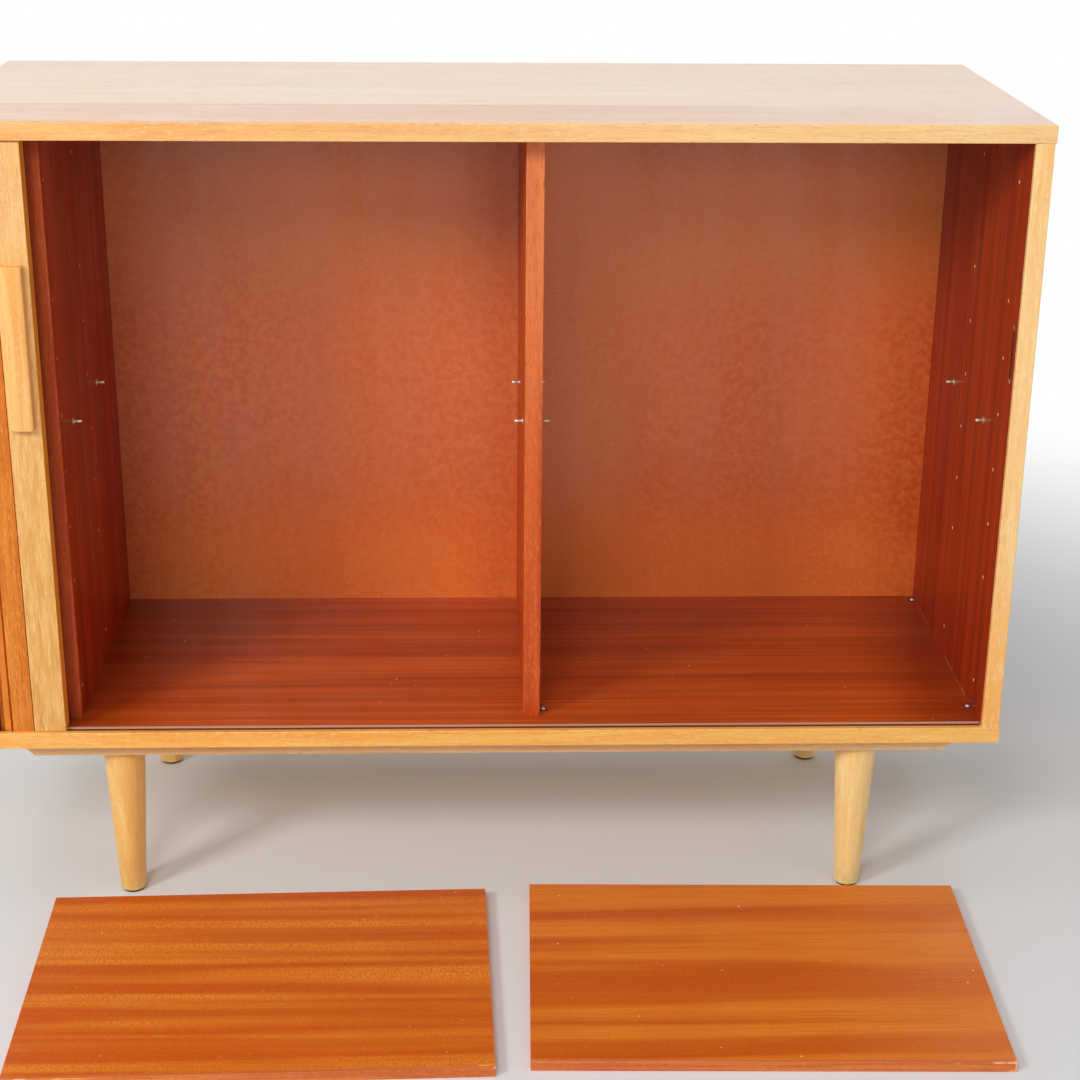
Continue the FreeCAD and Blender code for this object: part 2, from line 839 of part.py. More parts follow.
def side_lipping_solid(x0, x1):
    """The oak strip on the front edge of a side board."""
    strip = box(x0, x1, front_y, track_front_y, floor_z, ceiling_z)
    middle_z = (floor_z + ceiling_z) / 2
    return eased(strip, edge_round, lambda p: near(p.y, front_y) and near(p.z, middle_z))


def upright_solid(x0, x1, upright_front_y):
    """An inner upright behind its lipping."""
    return box(x0, x1, upright_front_y + upright_lipping, false_back_y, floor_z, ceiling_z)


def upright_lipping_solid(x0, x1, upright_front_y):
    """The strip on the front edge of an inner upright."""
    strip = box(x0, x1, upright_front_y, upright_front_y + upright_lipping, floor_z, ceiling_z)
    middle_z = (floor_z + ceiling_z) / 2
    return eased(strip, edge_round, lambda p: near(p.y, upright_front_y) and near(p.z, middle_z))


def make_caps():
    """Top and bottom boards with their lippings and track strips."""
    false_back = false_back_solid()
    rear_panel = rear_panel_solid()
    shared = side_dowels() + partition_dowels() + divider_dowels() + rear_panel_screws()
    top_groove = track_groove(ceiling_z, ceiling_z + top_track_depth)
    bottom_groove = track_groove(floor_z - bottom_track_depth, floor_z)
    top = cap_board(ceiling_z, carcass_top, carcass_top)
    bottom = cap_board(carcass_bottom, floor_z, carcass_bottom)
    fixings = base_rail_screws() + bracket_screws()
    return {
        "top_panel": top.cut([top_groove, false_back, rear_panel] + shared),
        "bottom_panel": bottom.cut([bottom_groove, false_back, rear_panel] + shared + fixings),
        "top_front_lipping": cap_lipping(ceiling_z, carcass_top),
        "bottom_front_lipping": cap_lipping(carcass_bottom, floor_z),
        "top_track_strip": track_strip(ceiling_z, ceiling_z + top_track_depth),
        "bottom_track_strip": track_strip(floor_z - bottom_track_depth, floor_z),
    }


def make_sides():
    """Side boards, their lippings and the dowels that hold them."""
    cuts = side_dowels() + rear_panel_screws() + [rear_panel_solid()]
    right_cuts = (
        peg_hole_columns(side_inner_x, -1) + pins_on(side_inner_x, -1)
        + [keeper_blank()] + keeper_screws() + bracket_screws()
    )
    outer_x = side_inner_x + side_board
    return {
        "left_side_panel": side_board_solid(-outer_x, -side_inner_x).cut(cuts),
        "right_side_panel": side_board_solid(side_inner_x, outer_x).cut(cuts + right_cuts),
        "left_side_lipping": side_lipping_solid(-outer_x, -side_inner_x),
        "right_side_lipping": side_lipping_solid(side_inner_x, outer_x),
        "side_dowels": group(side_dowels()),
    }


def make_uprights():
    """Partition and divider, their lippings and dowels."""
    partition = upright_solid(partition_left_x, partition_right_x, partition_front_y)
    partition_lip = upright_lipping_solid(partition_left_x, partition_right_x, partition_front_y)
    partition_cuts = (
        partition_dowels() + peg_hole_columns(partition_right_x, 1) + pins_on(partition_right_x, 1)
    )
    divider = upright_solid(divider_left_x, divider_right_x, divider_front_y)
    divider_lip = upright_lipping_solid(divider_left_x, divider_right_x, divider_front_y)
    divider_cuts = (
        divider_dowels() + bracket_screws()
        + peg_hole_columns(divider_left_x, -1) + pins_on(divider_left_x, -1)
        + peg_hole_columns(divider_right_x, 1) + pins_on(divider_right_x, 1)
    )
    return {
        "tambour_partition": partition.cut(partition_cuts),
        "tambour_partition_lipping": partition_lip,
        "partition_dowels": group(partition_dowels()),
        "centre_divider": divider.cut(divider_cuts),
        "centre_divider_lipping": divider_lip,
        "divider_dowels": group(divider_dowels()),
    }


def make_backs():
    """Inner back, rear panel and the rear panel's screws."""
    return {
        "false_back": false_back_solid(),
        "rear_back_panel": rear_panel_solid().cut(rear_panel_screws()),
        "rear_back_screws": group(rear_panel_screws()),
    }


def make_bay_fittings():
    """Shelf pins and corner brackets."""
    nodes = {name + "_shelf_pins": group(pins_on(*face)) for name, face in pin_faces().items()}
    for name, corners in bracket_places().items():
        nodes[name + "_corner_brackets"] = group([corner_bracket(*corner) for corner in corners])
    nodes["corner_bracket_screws"] = group(bracket_screws())
    return nodes


def make_door():
    """Leading stile with its handle and catch, the curtain and the keeper plate."""
    nodes = {
        "tambour_lead_stile": lead_stile_solid(),
        "tambour_handle": handle_solid(),
        "handle_screws": group(handle_screws()),
        "catch_housing": catch_body_solid(),
        "catch_magnet": catch_magnet_solid(),
        "catch_screws": group(catch_screws()),
        "keeper_plate": keeper_plate_solid(),
        "keeper_screws": group(keeper_screws()),
        "tambour_canvas": curtain_canvas(),
    }
    nodes.update(curtain_slats())
    return nodes


def make_shelf(name, centre_x, back_gap, turn):
    """One shelf and its lipping, laid on the floor and turned a little."""
    reach = shelf_depth / 2
    half = shelf_width / 2
    board = box(-half, half, shelf_lipping - reach, reach, 0, shelf_board)
    strip = box(-half, half, -reach, shelf_lipping - reach, 0, shelf_board)
    strip = eased(strip, shelf_round, lambda p: near(p.y, -reach) and near(p.x, 0))
    centre = Vec(centre_x, front_y + back_gap - reach * math.cos(math.radians(turn)), 0)
    for solid in (board, strip):
        solid.rotate(Vec(0, 0, 0), Vec(0, 0, 1), turn)
        solid.translate(centre)
    return {name: board, name + "_lipping": strip}


def make_base():
    """Base rails, legs, foot pads and their fixings."""
    nodes = {}
    for name, rear in (("front_base_rail", False), ("rear_base_rail", True)):
        y = base_rail_y(rear)
        low = base_rail_length / 2
        high = low + base_rail_height
        corners = ((-low, leg_height), (low, leg_height), (high, carcass_bottom), (-high, carcass_bottom))
        points = [Vec(x, y, z) for x, z in corners]
        rail = Part.Face(Part.makePolygon(points + points[:1])).extrude(Vec(0, base_rail_depth, 0))
        nodes[name] = rail.cut(base_rail_screws() + leg_bolts())
    up = Vec(0, 0, 1)
    for name, place in leg_places().items():
        foot = place + up * pad_thickness
        leg = Part.makeCone(leg_foot_radius, leg_top_radius, leg_height - pad_thickness, foot, up)
        leg = eased(leg, edge_round, lambda p: p.z < pad_thickness + edge_round)
        nodes[name + "_leg"] = leg.cut(leg_bolts())
        nodes[name + "_foot_pad"] = rod(pad_radius, place, up, pad_thickness)
    nodes["leg_bolts"] = group(leg_bolts())
    nodes["base_rail_screws"] = group(base_rail_screws())
    return nodes


def main():
    """Write every sub-part to its own STEP file."""
    os.makedirs("parts", exist_ok=True)
    nodes = {}
    nodes.update(make_caps())
    nodes.update(make_sides())
    nodes.update(make_uprights())
    nodes.update(make_backs())
    nodes.update(make_bay_fittings())
    nodes.update(make_door())
    nodes.update(make_shelf("left_shelf", left_shelf_x, left_shelf_back_gap, left_shelf_turn))
    nodes.update(make_shelf("right_shelf", right_shelf_x, right_shelf_back_gap, right_shelf_turn))
    nodes.update(make_base())
    for name, shape in nodes.items():
        shape.exportStep("parts/" + name + ".step")
        print(name, "solids", len(shape.Solids), "valid", shape.isValid())
    print("nodes", len(nodes))
    print("door travel", round(door_travel, 3))
    print("front plane at y", round(front_y, 3))


main()
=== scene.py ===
"""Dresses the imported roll-front oak cabinet and its two loose shelves for a studio picture.

Metres, +Z up, +X to the viewer's right, +Y away from the viewer. Every place is read from the frame
or worked out from it. Each sub-assembly is a class that dresses its nodes and builds its own meshes.
"""

import json
import logging
import math
from collections.abc import Iterable, Mapping, Sequence
from dataclasses import KW_ONLY, dataclass, replace
from enum import Enum
from typing import Any

import bmesh
import bpy
from mathutils import Euler, Matrix, Vector


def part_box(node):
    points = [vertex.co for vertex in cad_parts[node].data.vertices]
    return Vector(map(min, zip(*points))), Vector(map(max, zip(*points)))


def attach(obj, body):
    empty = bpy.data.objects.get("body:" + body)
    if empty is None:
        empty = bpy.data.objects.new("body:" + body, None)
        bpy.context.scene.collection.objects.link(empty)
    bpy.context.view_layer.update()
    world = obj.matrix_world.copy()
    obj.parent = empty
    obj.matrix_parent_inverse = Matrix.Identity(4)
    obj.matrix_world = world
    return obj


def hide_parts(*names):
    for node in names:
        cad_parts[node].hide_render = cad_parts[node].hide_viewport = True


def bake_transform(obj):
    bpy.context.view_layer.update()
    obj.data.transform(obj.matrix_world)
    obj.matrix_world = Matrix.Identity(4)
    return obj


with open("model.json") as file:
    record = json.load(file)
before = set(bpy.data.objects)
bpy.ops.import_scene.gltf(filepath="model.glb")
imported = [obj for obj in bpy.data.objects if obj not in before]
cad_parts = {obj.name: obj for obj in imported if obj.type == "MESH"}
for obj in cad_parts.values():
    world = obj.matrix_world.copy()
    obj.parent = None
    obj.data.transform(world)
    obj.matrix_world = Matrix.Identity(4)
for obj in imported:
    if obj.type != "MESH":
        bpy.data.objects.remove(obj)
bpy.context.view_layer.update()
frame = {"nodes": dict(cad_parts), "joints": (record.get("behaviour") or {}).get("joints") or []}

Pair = tuple[float, float]
Triple = tuple[float, float, float]
Inputs = Mapping[str | int, Any]
Box = tuple[Vector, Vector]

LOG = logging.getLogger("cabinet")
MILLIMETRE = 0.001
RIGHT = Vector((1, 0, 0))
REARWARD = Vector((0, 1, 0))
UP = Vector((0, 0, 1))

FULL_TURN = 2 * math.pi

# The carcass's front, and a leg's radius at its foot as a share of that at its top
CARCASS_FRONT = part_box("top_front_lipping")[0].y
LEG_TAPER = 0.608

# Points nearer than this are one. Edges sharper than the first angle are rounded, in so many steps,
# and those sharper than the second are shaded as edges. A small round's middle point lies at the
# last share of its radius from both sides.
WELD_REACH = MILLIMETRE / 1000
ROUNDED_ANGLE = math.radians(50)
ROUND_STEPS = 3
SHARP_ANGLE = math.radians(32)
ROUND_MIDDLE = 0.3

# Sockets of a Mix node whose data are colours
MIX_FACTOR = 0
MIX_A = 6
MIX_B = 7
MIX_RESULT = 2

# A turned shelf pin beyond the wall: shares of its collar's radius, their distances in millimetres,
# and how far the collar, neck and barrel stand out together
PIN_TURNING = (
    (0.58, 0.0), (0.93, 0.0), (1.0, 0.2), (1.0, 1.0), (0.92, 1.2),
    (0.36, 1.3), (0.36, 3.0), (0.456, 3.1), (0.48, 3.4),
)
PIN_REACH = 10.4 * MILLIMETRE


class Axis(Enum):
    """The way that a grain runs."""

    X = 0
    Y = 1
    Z = 2

    def sizes(self, along: float, across: float) -> tuple[float, ...]:
        """Sizes on X, Y and Z of a mark with a length along this axis and a width across it."""
        return tuple(along if axis is self else across for axis in Axis)


@dataclass(frozen=True)
class Tint:
    """A colour as it is seen on a screen, in steps of 0 to 255."""

    red: int
    green: int
    blue: int

    def linear(self) -> tuple[float, float, float, float]:
        """The same colour in the linear values that a shader takes."""
        return (*(self._open(step / 255) for step in (self.red, self.green, self.blue)), 1.0)

    @staticmethod
    def _open(value: float) -> float:
        """Undo the screen's curve for one channel."""
        return value / 12.92 if value <= 0.04045 else ((value + 0.055) / 1.055) ** 2.4


class Signal:
    """A number that varies over a surface, with the arithmetic that shaders need."""

    def __init__(self, tree: "Tree", socket: bpy.types.NodeSocket) -> None:
        """Wrap the output socket that carries the number in a tree."""
        self.tree = tree
        self.socket = socket

    def __add__(self, other: "Operand") -> "Signal":
        """Sum of two numbers."""
        return self.tree.maths("ADD", self, other)

    __radd__ = __add__

    def __mul__(self, other: "Operand") -> "Signal":
        """Product of two numbers."""
        return self.tree.maths("MULTIPLY", self, other)

    __rmul__ = __mul__

    def __sub__(self, other: "Operand") -> "Signal":
        """This number less another."""
        return self.tree.maths("SUBTRACT", self, other)

    def __rsub__(self, other: "Operand") -> "Signal":
        """Another number less this one."""
        return self.tree.maths("SUBTRACT", other, self)

    def least(self, other: "Operand") -> "Signal":
        """The smaller of two numbers."""
        return self.tree.maths("MINIMUM", self, other)

    def most(self, other: "Operand") -> "Signal":
        """The larger of two numbers."""
        return self.tree.maths("MAXIMUM", self, other)

    def sine(self) -> "Signal":
        """Sine of the number."""
        return self.tree.maths("SINE", self)

    def step(self, start: float, end: float) -> "Signal":
        """A soft step from 0 at the start to 1 at the end, which may be the smaller of the two."""
        settings = {"interpolation_type": "SMOOTHSTEP", "clamp": True}
        return self.tree.signal("MapRange", settings, {"Value": self, "From Min": start, "From Max": end})


Operand = Signal | float
Paint = Tint | bpy.types.NodeSocket


class Tree:
    """A tree of shader nodes, and the calls that add to it."""

    def __init__(self, tree: bpy.types.NodeTree) -> None:
        """Take up a tree that exists."""
        self.tree = tree

    def node(self, kind: str, settings: Mapping[str, Any], inputs: Inputs) -> bpy.types.Node:
        """Add a node of any kind.

        Args:
            kind: The node's type, without the words ShaderNode.
            settings: Its own properties, which are set first.
            inputs: Values or links of its sockets, by name or number.

        Returns:
            The new node.
        """
        node = self.tree.nodes.new("ShaderNode" + kind)
        for key, value in settings.items():
            setattr(node, key, value)
        self.feed(node, inputs)
        return node

    def feed(self, node: bpy.types.Node, inputs: Inputs) -> None:
        """Link a node's sockets, or set their own values.

        Args:
            node: The node to feed.
            inputs: A signal, a socket, a tint or a plain value for each socket.
        """
        for key, value in inputs.items():
            if isinstance(value, Signal):
                value = value.socket
            if isinstance(value, bpy.types.NodeSocket):
                self.tree.links.new(value, node.inputs[key])
            else:
                node.inputs[key].default_value = value.linear() if isinstance(value, Tint) else value

    def signal(
        self, kind: str, settings: Mapping[str, Any], inputs: Inputs, output: str | int = 0
    ) -> Signal:
        """Add a node, as the node method does, and take one of its outputs as a number."""
        return Signal(self, self.node(kind, settings, inputs).outputs[output])

    def maths(self, operation: str, *values: Operand) -> Signal:
        """A Math node on one or two numbers."""
        return self.signal("Math", {"operation": operation}, dict(enumerate(values)))

    def blend(self, factor: Operand, below: Paint, above: Paint, mode: str = "MIX") -> bpy.types.NodeSocket:
        """Mix two colours: a factor of 0 gives the one below and a factor of 1 the one above."""
        inputs = {MIX_FACTOR: factor, MIX_A: below, MIX_B: above}
        return self.node("Mix", {"data_type": "RGBA", "blend_type": mode}, inputs).outputs[MIX_RESULT]

    def seen(self) -> Signal:
        """1 for what is seen straight, mirrored or through glass, and 0 for what only gives light."""
        rays = self.node("LightPath", {}, {}).outputs
        straight, mirrored, through = (
            Signal(self, rays[f"Is {kind} Ray"]) for kind in ("Camera", "Glossy", "Transmission")
        )
        return straight.most(mirrored).most(through)


@dataclass
class Surface:
    """What a finish works out for every point, before it reaches the shader."""

    colour: bpy.types.NodeSocket
    roughness: Signal
    height: Signal
    coat: Operand = 0.0
    metal: Operand = 0.0

    def under(self, mask: Signal, other: "Surface") -> "Surface":
        """This surface where the mask is 0 and another one where it is 1.

        Args:
            mask: Where the other surface shows.
            other: The surface that covers this one.

        Returns:
            The joined surface.
        """
        return Surface(
            mask.tree.blend(mask, self.colour, other.colour),
            self.roughness + mask * (other.roughness - self.roughness),
            self.height + mask * (other.height - self.height),
            mask * (other.coat - self.coat) + self.coat,
        )


class Graph(Tree):
    """The nodes of one material."""

    def __init__(self, name: str, box: Box | None) -> None:
        """Start a material.

        Args:
            name: Name of the material.
            box: Lowest and highest corner of the piece, where its finish asks for them.
        """
        self.material = bpy.data.materials.new(name)
        self.material.use_nodes = True
        super().__init__(self.material.node_tree)
        self.box = box
        self.shader = self.tree.nodes["Principled BSDF"]
        self.place = self.node("TexCoord", {}, {}).outputs["Object"]
        self.parts = self.node("SeparateXYZ", {}, {"Vector": self.place})

    def at(self, axis: Axis) -> Signal:
        """The place along one axis, in metres."""
        return Signal(self, self.parts.outputs[axis.value])

    def noise(
        self, size: float | Sequence[float], seed: float, detail: float, rough: float = 0.5,
        warp: float = 0.0,
    ) -> Signal:
        """Soft noise of about 0.3 to 0.7.

        Args:
            size: Size of its marks, or their sizes on X, Y and Z.
            seed: Shift that makes this noise unlike others.
            detail: Number of finer layers.
            rough: Strength of the finer layers.
            warp: How far the marks wander.

        Returns:
            The noise.
        """
        sizes = (size,) * 3 if isinstance(size, float) else size
        factors = tuple(1 / length for length in sizes)
        shift = (seed, seed * 0.7, seed * 1.3)
        moved = self.node("VectorMath", {"operation": "MULTIPLY_ADD"}, {0: self.place, 1: factors, 2: shift})
        inputs = {"Vector": moved.outputs[0], "Scale": 1.0, "Detail": detail, "Roughness": rough}
        return self.signal("TexNoise", {"noise_dimensions": "3D"}, {**inputs, "Distortion": warp})

    def island(self) -> Signal:
        """A random number for each separate solid of a piece."""
        return self.signal("NewGeometry", {}, {}, "Random Per Island")

    def arrises(self, reach: float) -> Signal:
        """Where the edges of the piece's box are.

        Args:
            reach: How far from an edge the mark fades out.

        Returns:
            1 on the box's edges and 0 away from them.
        """
        low, high = self.box
        gaps = [(self.at(axis) - low[axis.value]).least(high[axis.value] - self.at(axis)) for axis in Axis]
        nearer = gaps[0].least(gaps[1])
        farther = gaps[0].most(gaps[1])
        return nearer.most(farther.least(gaps[2])).step(reach, 0.0)

    def finish(self, surface: Surface, finish: "Finish") -> bpy.types.Material:
        """Feed the shader.

        Args:
            surface: What varies over the piece.
            finish: The finish whose relief, coat and specular values are the same all over.

        Returns:
            The finished material.
        """
        bump = self.node("Bump", {}, {"Strength": 1.0, "Distance": finish.relief, "Height": surface.height})
        self.feed(self.shader, {
            "Base Color": surface.colour, "Roughness": surface.roughness, "Metallic": surface.metal,
            "Coat Weight": surface.coat, "Coat Roughness": finish.coat_roughness,
            "Specular IOR Level": finish.specular, "Normal": bump.outputs["Normal"],
        })
        return self.material


def dress(node: str, material: bpy.types.Material) -> None:
    """Give a node of the frame its material.

    Args:
        node: Name of the node.
        material: The material that all of it takes.
    """
    for slot in frame["nodes"][node].material_slots:
        slot.material = material
    LOG.info("dressed %s in %s", node, material.name)


# Motes on a polished board, and the width over which a drift's cut fades out
DUST = Tint(250, 206, 160)
DRIFT_CUT = 10.0 * MILLIMETRE


@dataclass(frozen=True)
class Drift:
    """A slow change of colour along a board; on some boards it is painted light and shade.

    It grows from its start to its end. With a lean it moves over by that much for each metre of
    depth, and with a stop it is cut off there, where another board hides the cut.
    """

    axis: Axis
    start: float
    end: float
    shade: Tint
    share: float
    lean: float = 0.0
    stop: float | None = None

    def over(self, graph: Graph, colour: bpy.types.NodeSocket) -> bpy.types.NodeSocket:
        """Lay the change over a colour.

        Args:
            graph: The material's graph.
            colour: The colour so far.

        Returns:
            The changed colour.
        """
        place = graph.at(self.axis)
        if self.lean:
            place = place - graph.at(Axis.Y) * self.lean
        mask = place.step(self.start, self.end) * self.share
        if self.stop is not None:
            cut = math.copysign(DRIFT_CUT, self.start - self.end)
            mask = mask * place.step(self.stop, self.stop + cut)
        return graph.blend(mask, colour, self.shade)


@dataclass(frozen=True, kw_only=True)
class Finish:
    """What a piece is made of. Each kind of finish works out its own surface.

    A seed makes a piece unlike others, and every layer of marks adds its own number to it.
    """

    stuff: str
    run: Axis = Axis.Z
    roughness: float = 0.50
    coat: float = 0.0
    coat_roughness: float = 0.1
    specular: float = 0.5
    relief: float = 0.05 * MILLIMETRE

    def surface(self, graph: Graph, seed: float) -> Surface:
        """Work out the finish at every point of a graph's piece."""
        raise NotImplementedError

    def worn(self, graph: Graph, surface: Surface, seed: float) -> Surface:
        """The surface with its wear, which a plain finish doesn't have."""
        return surface

    def grain(self, graph: Graph, size: Pair, seed: float, **layers: float) -> Signal:
        """Noise whose marks run with the grain, from their length and width."""
        return graph.noise(self.run.sizes(*size), seed, **layers)

    def material(self, name: str, seed: float, box: Box | None) -> bpy.types.Material:
        """The material of a piece, from the piece's name, its seed and its box."""
        graph = Graph(f"{self.stuff}_{name}", box)
        return graph.finish(self.worn(graph, self.surface(graph, seed), seed), self)

    def dress(self, node: str, seed: float) -> None:
        """Give a node of the frame this finish."""
        dress(node, self.material(node, seed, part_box(node)))


@dataclass(frozen=True)
class Wood(Finish):
    """Wood with a broad figure, growth lines, ribbons, fine grain, pores, flecks and a lacquer.

    Its colours are those of the pale and the deep figure, of the lines and pores, and of the
    flecks and rubbed arrises; a strong rub also paints a highlight along the arrises. The size of
    a mark is its length and its width. An arris of 0 is one that doesn't wear.
    """

    pale: Tint
    deep: Tint
    line: Tint
    fleck: Tint
    _: KW_ONLY
    figure: Pair
    contrast: float = 0.16
    growth_lines: float = 0.0
    ribbon: Pair = (0.60, 0.006)
    ribbon_share: float = 0.0
    line_size: Pair = (0.120, 0.0013)
    line_share: float = 0.45
    pore_size: Pair = (0.0060, 0.00045)
    pore_share: float = 0.35
    fleck_size: Pair = (0.0070, 0.0011)
    fleck_share: float = 0.0
    mottle_size: Pair = (0.0014, 0.0050)
    mottle_share: float = 0.0
    slat_shade: float = 0.0
    blotch: float = 0.12
    dust: float = 0.0
    drifts: tuple[Drift, ...] = ()
    arris: float = 2.5 * MILLIMETRE
    rub_and_highlight: float = 0.35
    roughness: float = 0.42
    coat: float = 0.20
    coat_roughness: float = 0.22
    relief: float = 0.10 * MILLIMETRE

    def stained(self, pale: Tint, deep: Tint, line: Tint, fleck: Tint, **changes: Any) -> "Wood":
        """The same wood in other colours, and with any other changes."""
        return replace(self, pale=pale, deep=deep, line=line, fleck=fleck, **changes)

    def surface(self, graph: Graph, seed: float) -> Surface:
        """Work out the wood at every point.

        Args:
            graph: The material's graph.
            seed: Shift that makes this board unlike others.

        Returns:
            The wood's surface.
        """
        figure = self.grain(graph, self.figure, seed, detail=2.0, warp=0.5)
        shade = figure.step(0.5 - self.contrast, 0.5 + self.contrast)
        if self.growth_lines:
            rings = (figure * (FULL_TURN * self.growth_lines)).sine() * 0.5 + 0.5
            shade = shade * 0.45 + rings * 0.55
        colour = graph.blend(shade, self.pale, self.deep)
        for drift in self.drifts:
            colour = drift.over(graph, colour)
        if self.ribbon_share:
            ribbons = self.grain(graph, self.ribbon, seed + 5, detail=2.0, rough=0.55, warp=0.3)
            colour = graph.blend(ribbons.step(0.40, 0.60) * self.ribbon_share, colour, self.line, "MULTIPLY")
        if self.mottle_share:
            dashes = self.grain(graph, self.mottle_size, seed + 47, detail=2.0).step(0.40, 0.62)
            colour = graph.blend((1 - shade) * dashes * self.mottle_share, colour, self.line)
        lines = self.grain(graph, self.line_size, seed + 11, detail=4.0, rough=0.7).step(0.44, 0.72)
        colour = graph.blend(lines * self.line_share, colour, self.line)
        pores = self.grain(graph, self.pore_size, seed + 17, detail=1.0).step(0.58, 0.70)
        colour = graph.blend(pores * self.pore_share, colour, self.line)
        if self.fleck_share:
            flecks = self.grain(graph, self.fleck_size, seed + 23, detail=1.5, warp=0.4).step(0.55, 0.68)
            colour = graph.blend(flecks * self.fleck_share, colour, self.fleck)
        stains = graph.noise(self.blotch, seed + 31, detail=3.0).step(0.35, 0.70)
        colour = graph.blend(stains * 0.22, colour, self.deep)
        if self.dust:
            motes = graph.noise(0.0060, seed + 53, detail=0.0).step(0.860, 0.875)
            colour = graph.blend(motes * self.dust, colour, DUST)
        scuffs = graph.noise(0.004, seed + 37, detail=4.0).step(0.55, 0.75)
        roughness = self.roughness + 0.10 * stains + 0.10 * scuffs + 0.08 * pores
        height = 0.6 - 0.6 * pores + 0.25 * lines - 0.08 * scuffs
        if self.slat_shade:
            island = graph.island()
            colour = graph.blend(island * self.slat_shade, colour, self.deep)
            roughness = roughness + 0.06 * island
        return Surface(colour, roughness, height, self.coat)

    def worn(self, graph: Graph, surface: Surface, seed: float) -> Surface:
        """Rub a board's arrises and knock them here and there; a strong rub also paints a highlight.

        Args:
            graph: The material's graph.
            surface: The board's surface.
            seed: Shift that makes this board unlike others.

        Returns:
            The worn surface.
        """
        if not self.arris:
            return surface
        rubbed = graph.arrises(self.arris)
        wear = rubbed * graph.noise(0.030, seed + 41, detail=3.0).step(0.46, 0.62)
        knocks = rubbed * graph.noise(0.009, seed + 43, detail=2.0).step(0.62, 0.70)
        colour = graph.blend(wear * self.rub_and_highlight, surface.colour, self.fleck)
        colour = graph.blend(knocks * 0.6, colour, self.line)
        return Surface(colour, surface.roughness + wear * 0.12, surface.height - knocks, surface.coat)


@dataclass(frozen=True)
class Hardboard(Finish):
    """Pressed fibre board with a pale and a deep shade, dark specks and pale chips.

    A rim is painted shade that grows towards the board's left and right ends, beside the walls.
    """

    pale: Tint
    deep: Tint
    speck: Tint
    chip: Tint
    _: KW_ONLY
    rim: Tint | None = None
    rim_reach: float = 0.09
    drifts: tuple[Drift, ...] = ()
    coat_roughness: float = 0.30
    relief: float = 0.06 * MILLIMETRE

    def surface(self, graph: Graph, seed: float) -> Surface:
        """Work out the board at every point.

        Args:
            graph: The material's graph.
            seed: Shift that makes this board unlike others.

        Returns:
            The board's surface.
        """
        clouds = graph.noise(0.22, seed, detail=3.0).step(0.34, 0.66)
        colour = graph.blend(clouds, self.pale, self.deep)
        if self.rim:
            gap = (graph.at(Axis.X) - graph.box[0].x).least(graph.box[1].x - graph.at(Axis.X))
            colour = graph.blend(gap.step(self.rim_reach, 0.0) * 0.9, colour, self.rim)
        for drift in self.drifts:
            colour = drift.over(graph, colour)
        mottle = graph.noise(0.0090, seed + 5, detail=3.0).step(0.36, 0.64)
        fibres = graph.noise(0.0016, seed + 3, detail=3.0).step(0.40, 0.66)
        specks = graph.noise(0.0030, seed + 7, detail=1.0).step(0.72, 0.79)
        chips = graph.noise(0.0028, seed + 9, detail=0.0).step(0.78, 0.84)
        for marks, share, tint in (
            (mottle, 0.20, self.chip), (fibres, 0.36, self.speck), (specks, 0.55, self.speck),
            (chips, 0.45, self.chip),
        ):
            colour = graph.blend(marks * share, colour, tint)
        smears = self.grain(graph, (0.4, 0.05), seed + 13, detail=3.0).step(0.40, 0.66)
        roughness = self.roughness + 0.14 * smears + 0.08 * fibres
        return Surface(colour, roughness, fibres * 0.5 - specks * 0.4 + chips * 0.3, self.coat)


@dataclass(frozen=True)
class Metal(Finish):
    """Plated or bare metal with a bright and a dull shade, fine scratches and dirt."""

    bright: Tint
    dull: Tint
    dirt: Tint
    _: KW_ONLY
    dirt_share: float = 0.4
    shine: float = 1.0
    run: Axis = Axis.Y
    roughness: float = 0.30
    relief: float = 0.02 * MILLIMETRE

    def surface(self, graph: Graph, seed: float) -> Surface:
        """Work out the metal at every point.

        Args:
            graph: The material's graph.
            seed: Shift that makes it unlike others.

        Returns:
            The metal's surface.
        """
        stains = graph.noise(0.0040, seed, detail=3.0).step(0.38, 0.64)
        grime = graph.noise(0.0018, seed + 3, detail=4.0).step(0.52, 0.70)
        scratches = self.grain(graph, (0.004, 0.0002), seed + 7, detail=2.0).step(0.58, 0.70)
        colour = graph.blend(stains, self.bright, self.dull)
        colour = graph.blend(grime * self.dirt_share, colour, self.dirt)
        roughness = self.roughness + 0.18 * stains + 0.35 * grime
        metal = self.shine - grime * (self.dirt_share * self.shine)
        return Surface(colour, roughness, 0.5 - 0.5 * scratches + 0.2 * grime, metal=metal)


@dataclass(frozen=True)
class Moulded(Finish):
    """Plastic, rubber or ferrite with a mottle, scuffs and dust."""

    body: Tint
    scuff: Tint
    _: KW_ONLY
    run: Axis = Axis.Y
    relief: float = 0.03 * MILLIMETRE

    def surface(self, graph: Graph, seed: float) -> Surface:
        """Work out the moulding at every point.

        Args:
            graph: The material's graph.
            seed: Shift that makes it unlike others.

        Returns:
            The moulding's surface.
        """
        mottle = graph.noise(0.0030, seed, detail=3.0).step(0.35, 0.65)
        scuffs = self.grain(graph, (0.010, 0.002), seed + 3, detail=4.0).step(0.56, 0.70)
        dust = graph.noise(0.0005, seed + 7, detail=1.0)
        colour = graph.blend(mottle * 0.35 + scuffs * 0.45, self.body, self.scuff)
        return Surface(colour, self.roughness + 0.15 * mottle + 0.15 * scuffs, dust - 0.5 * scuffs)


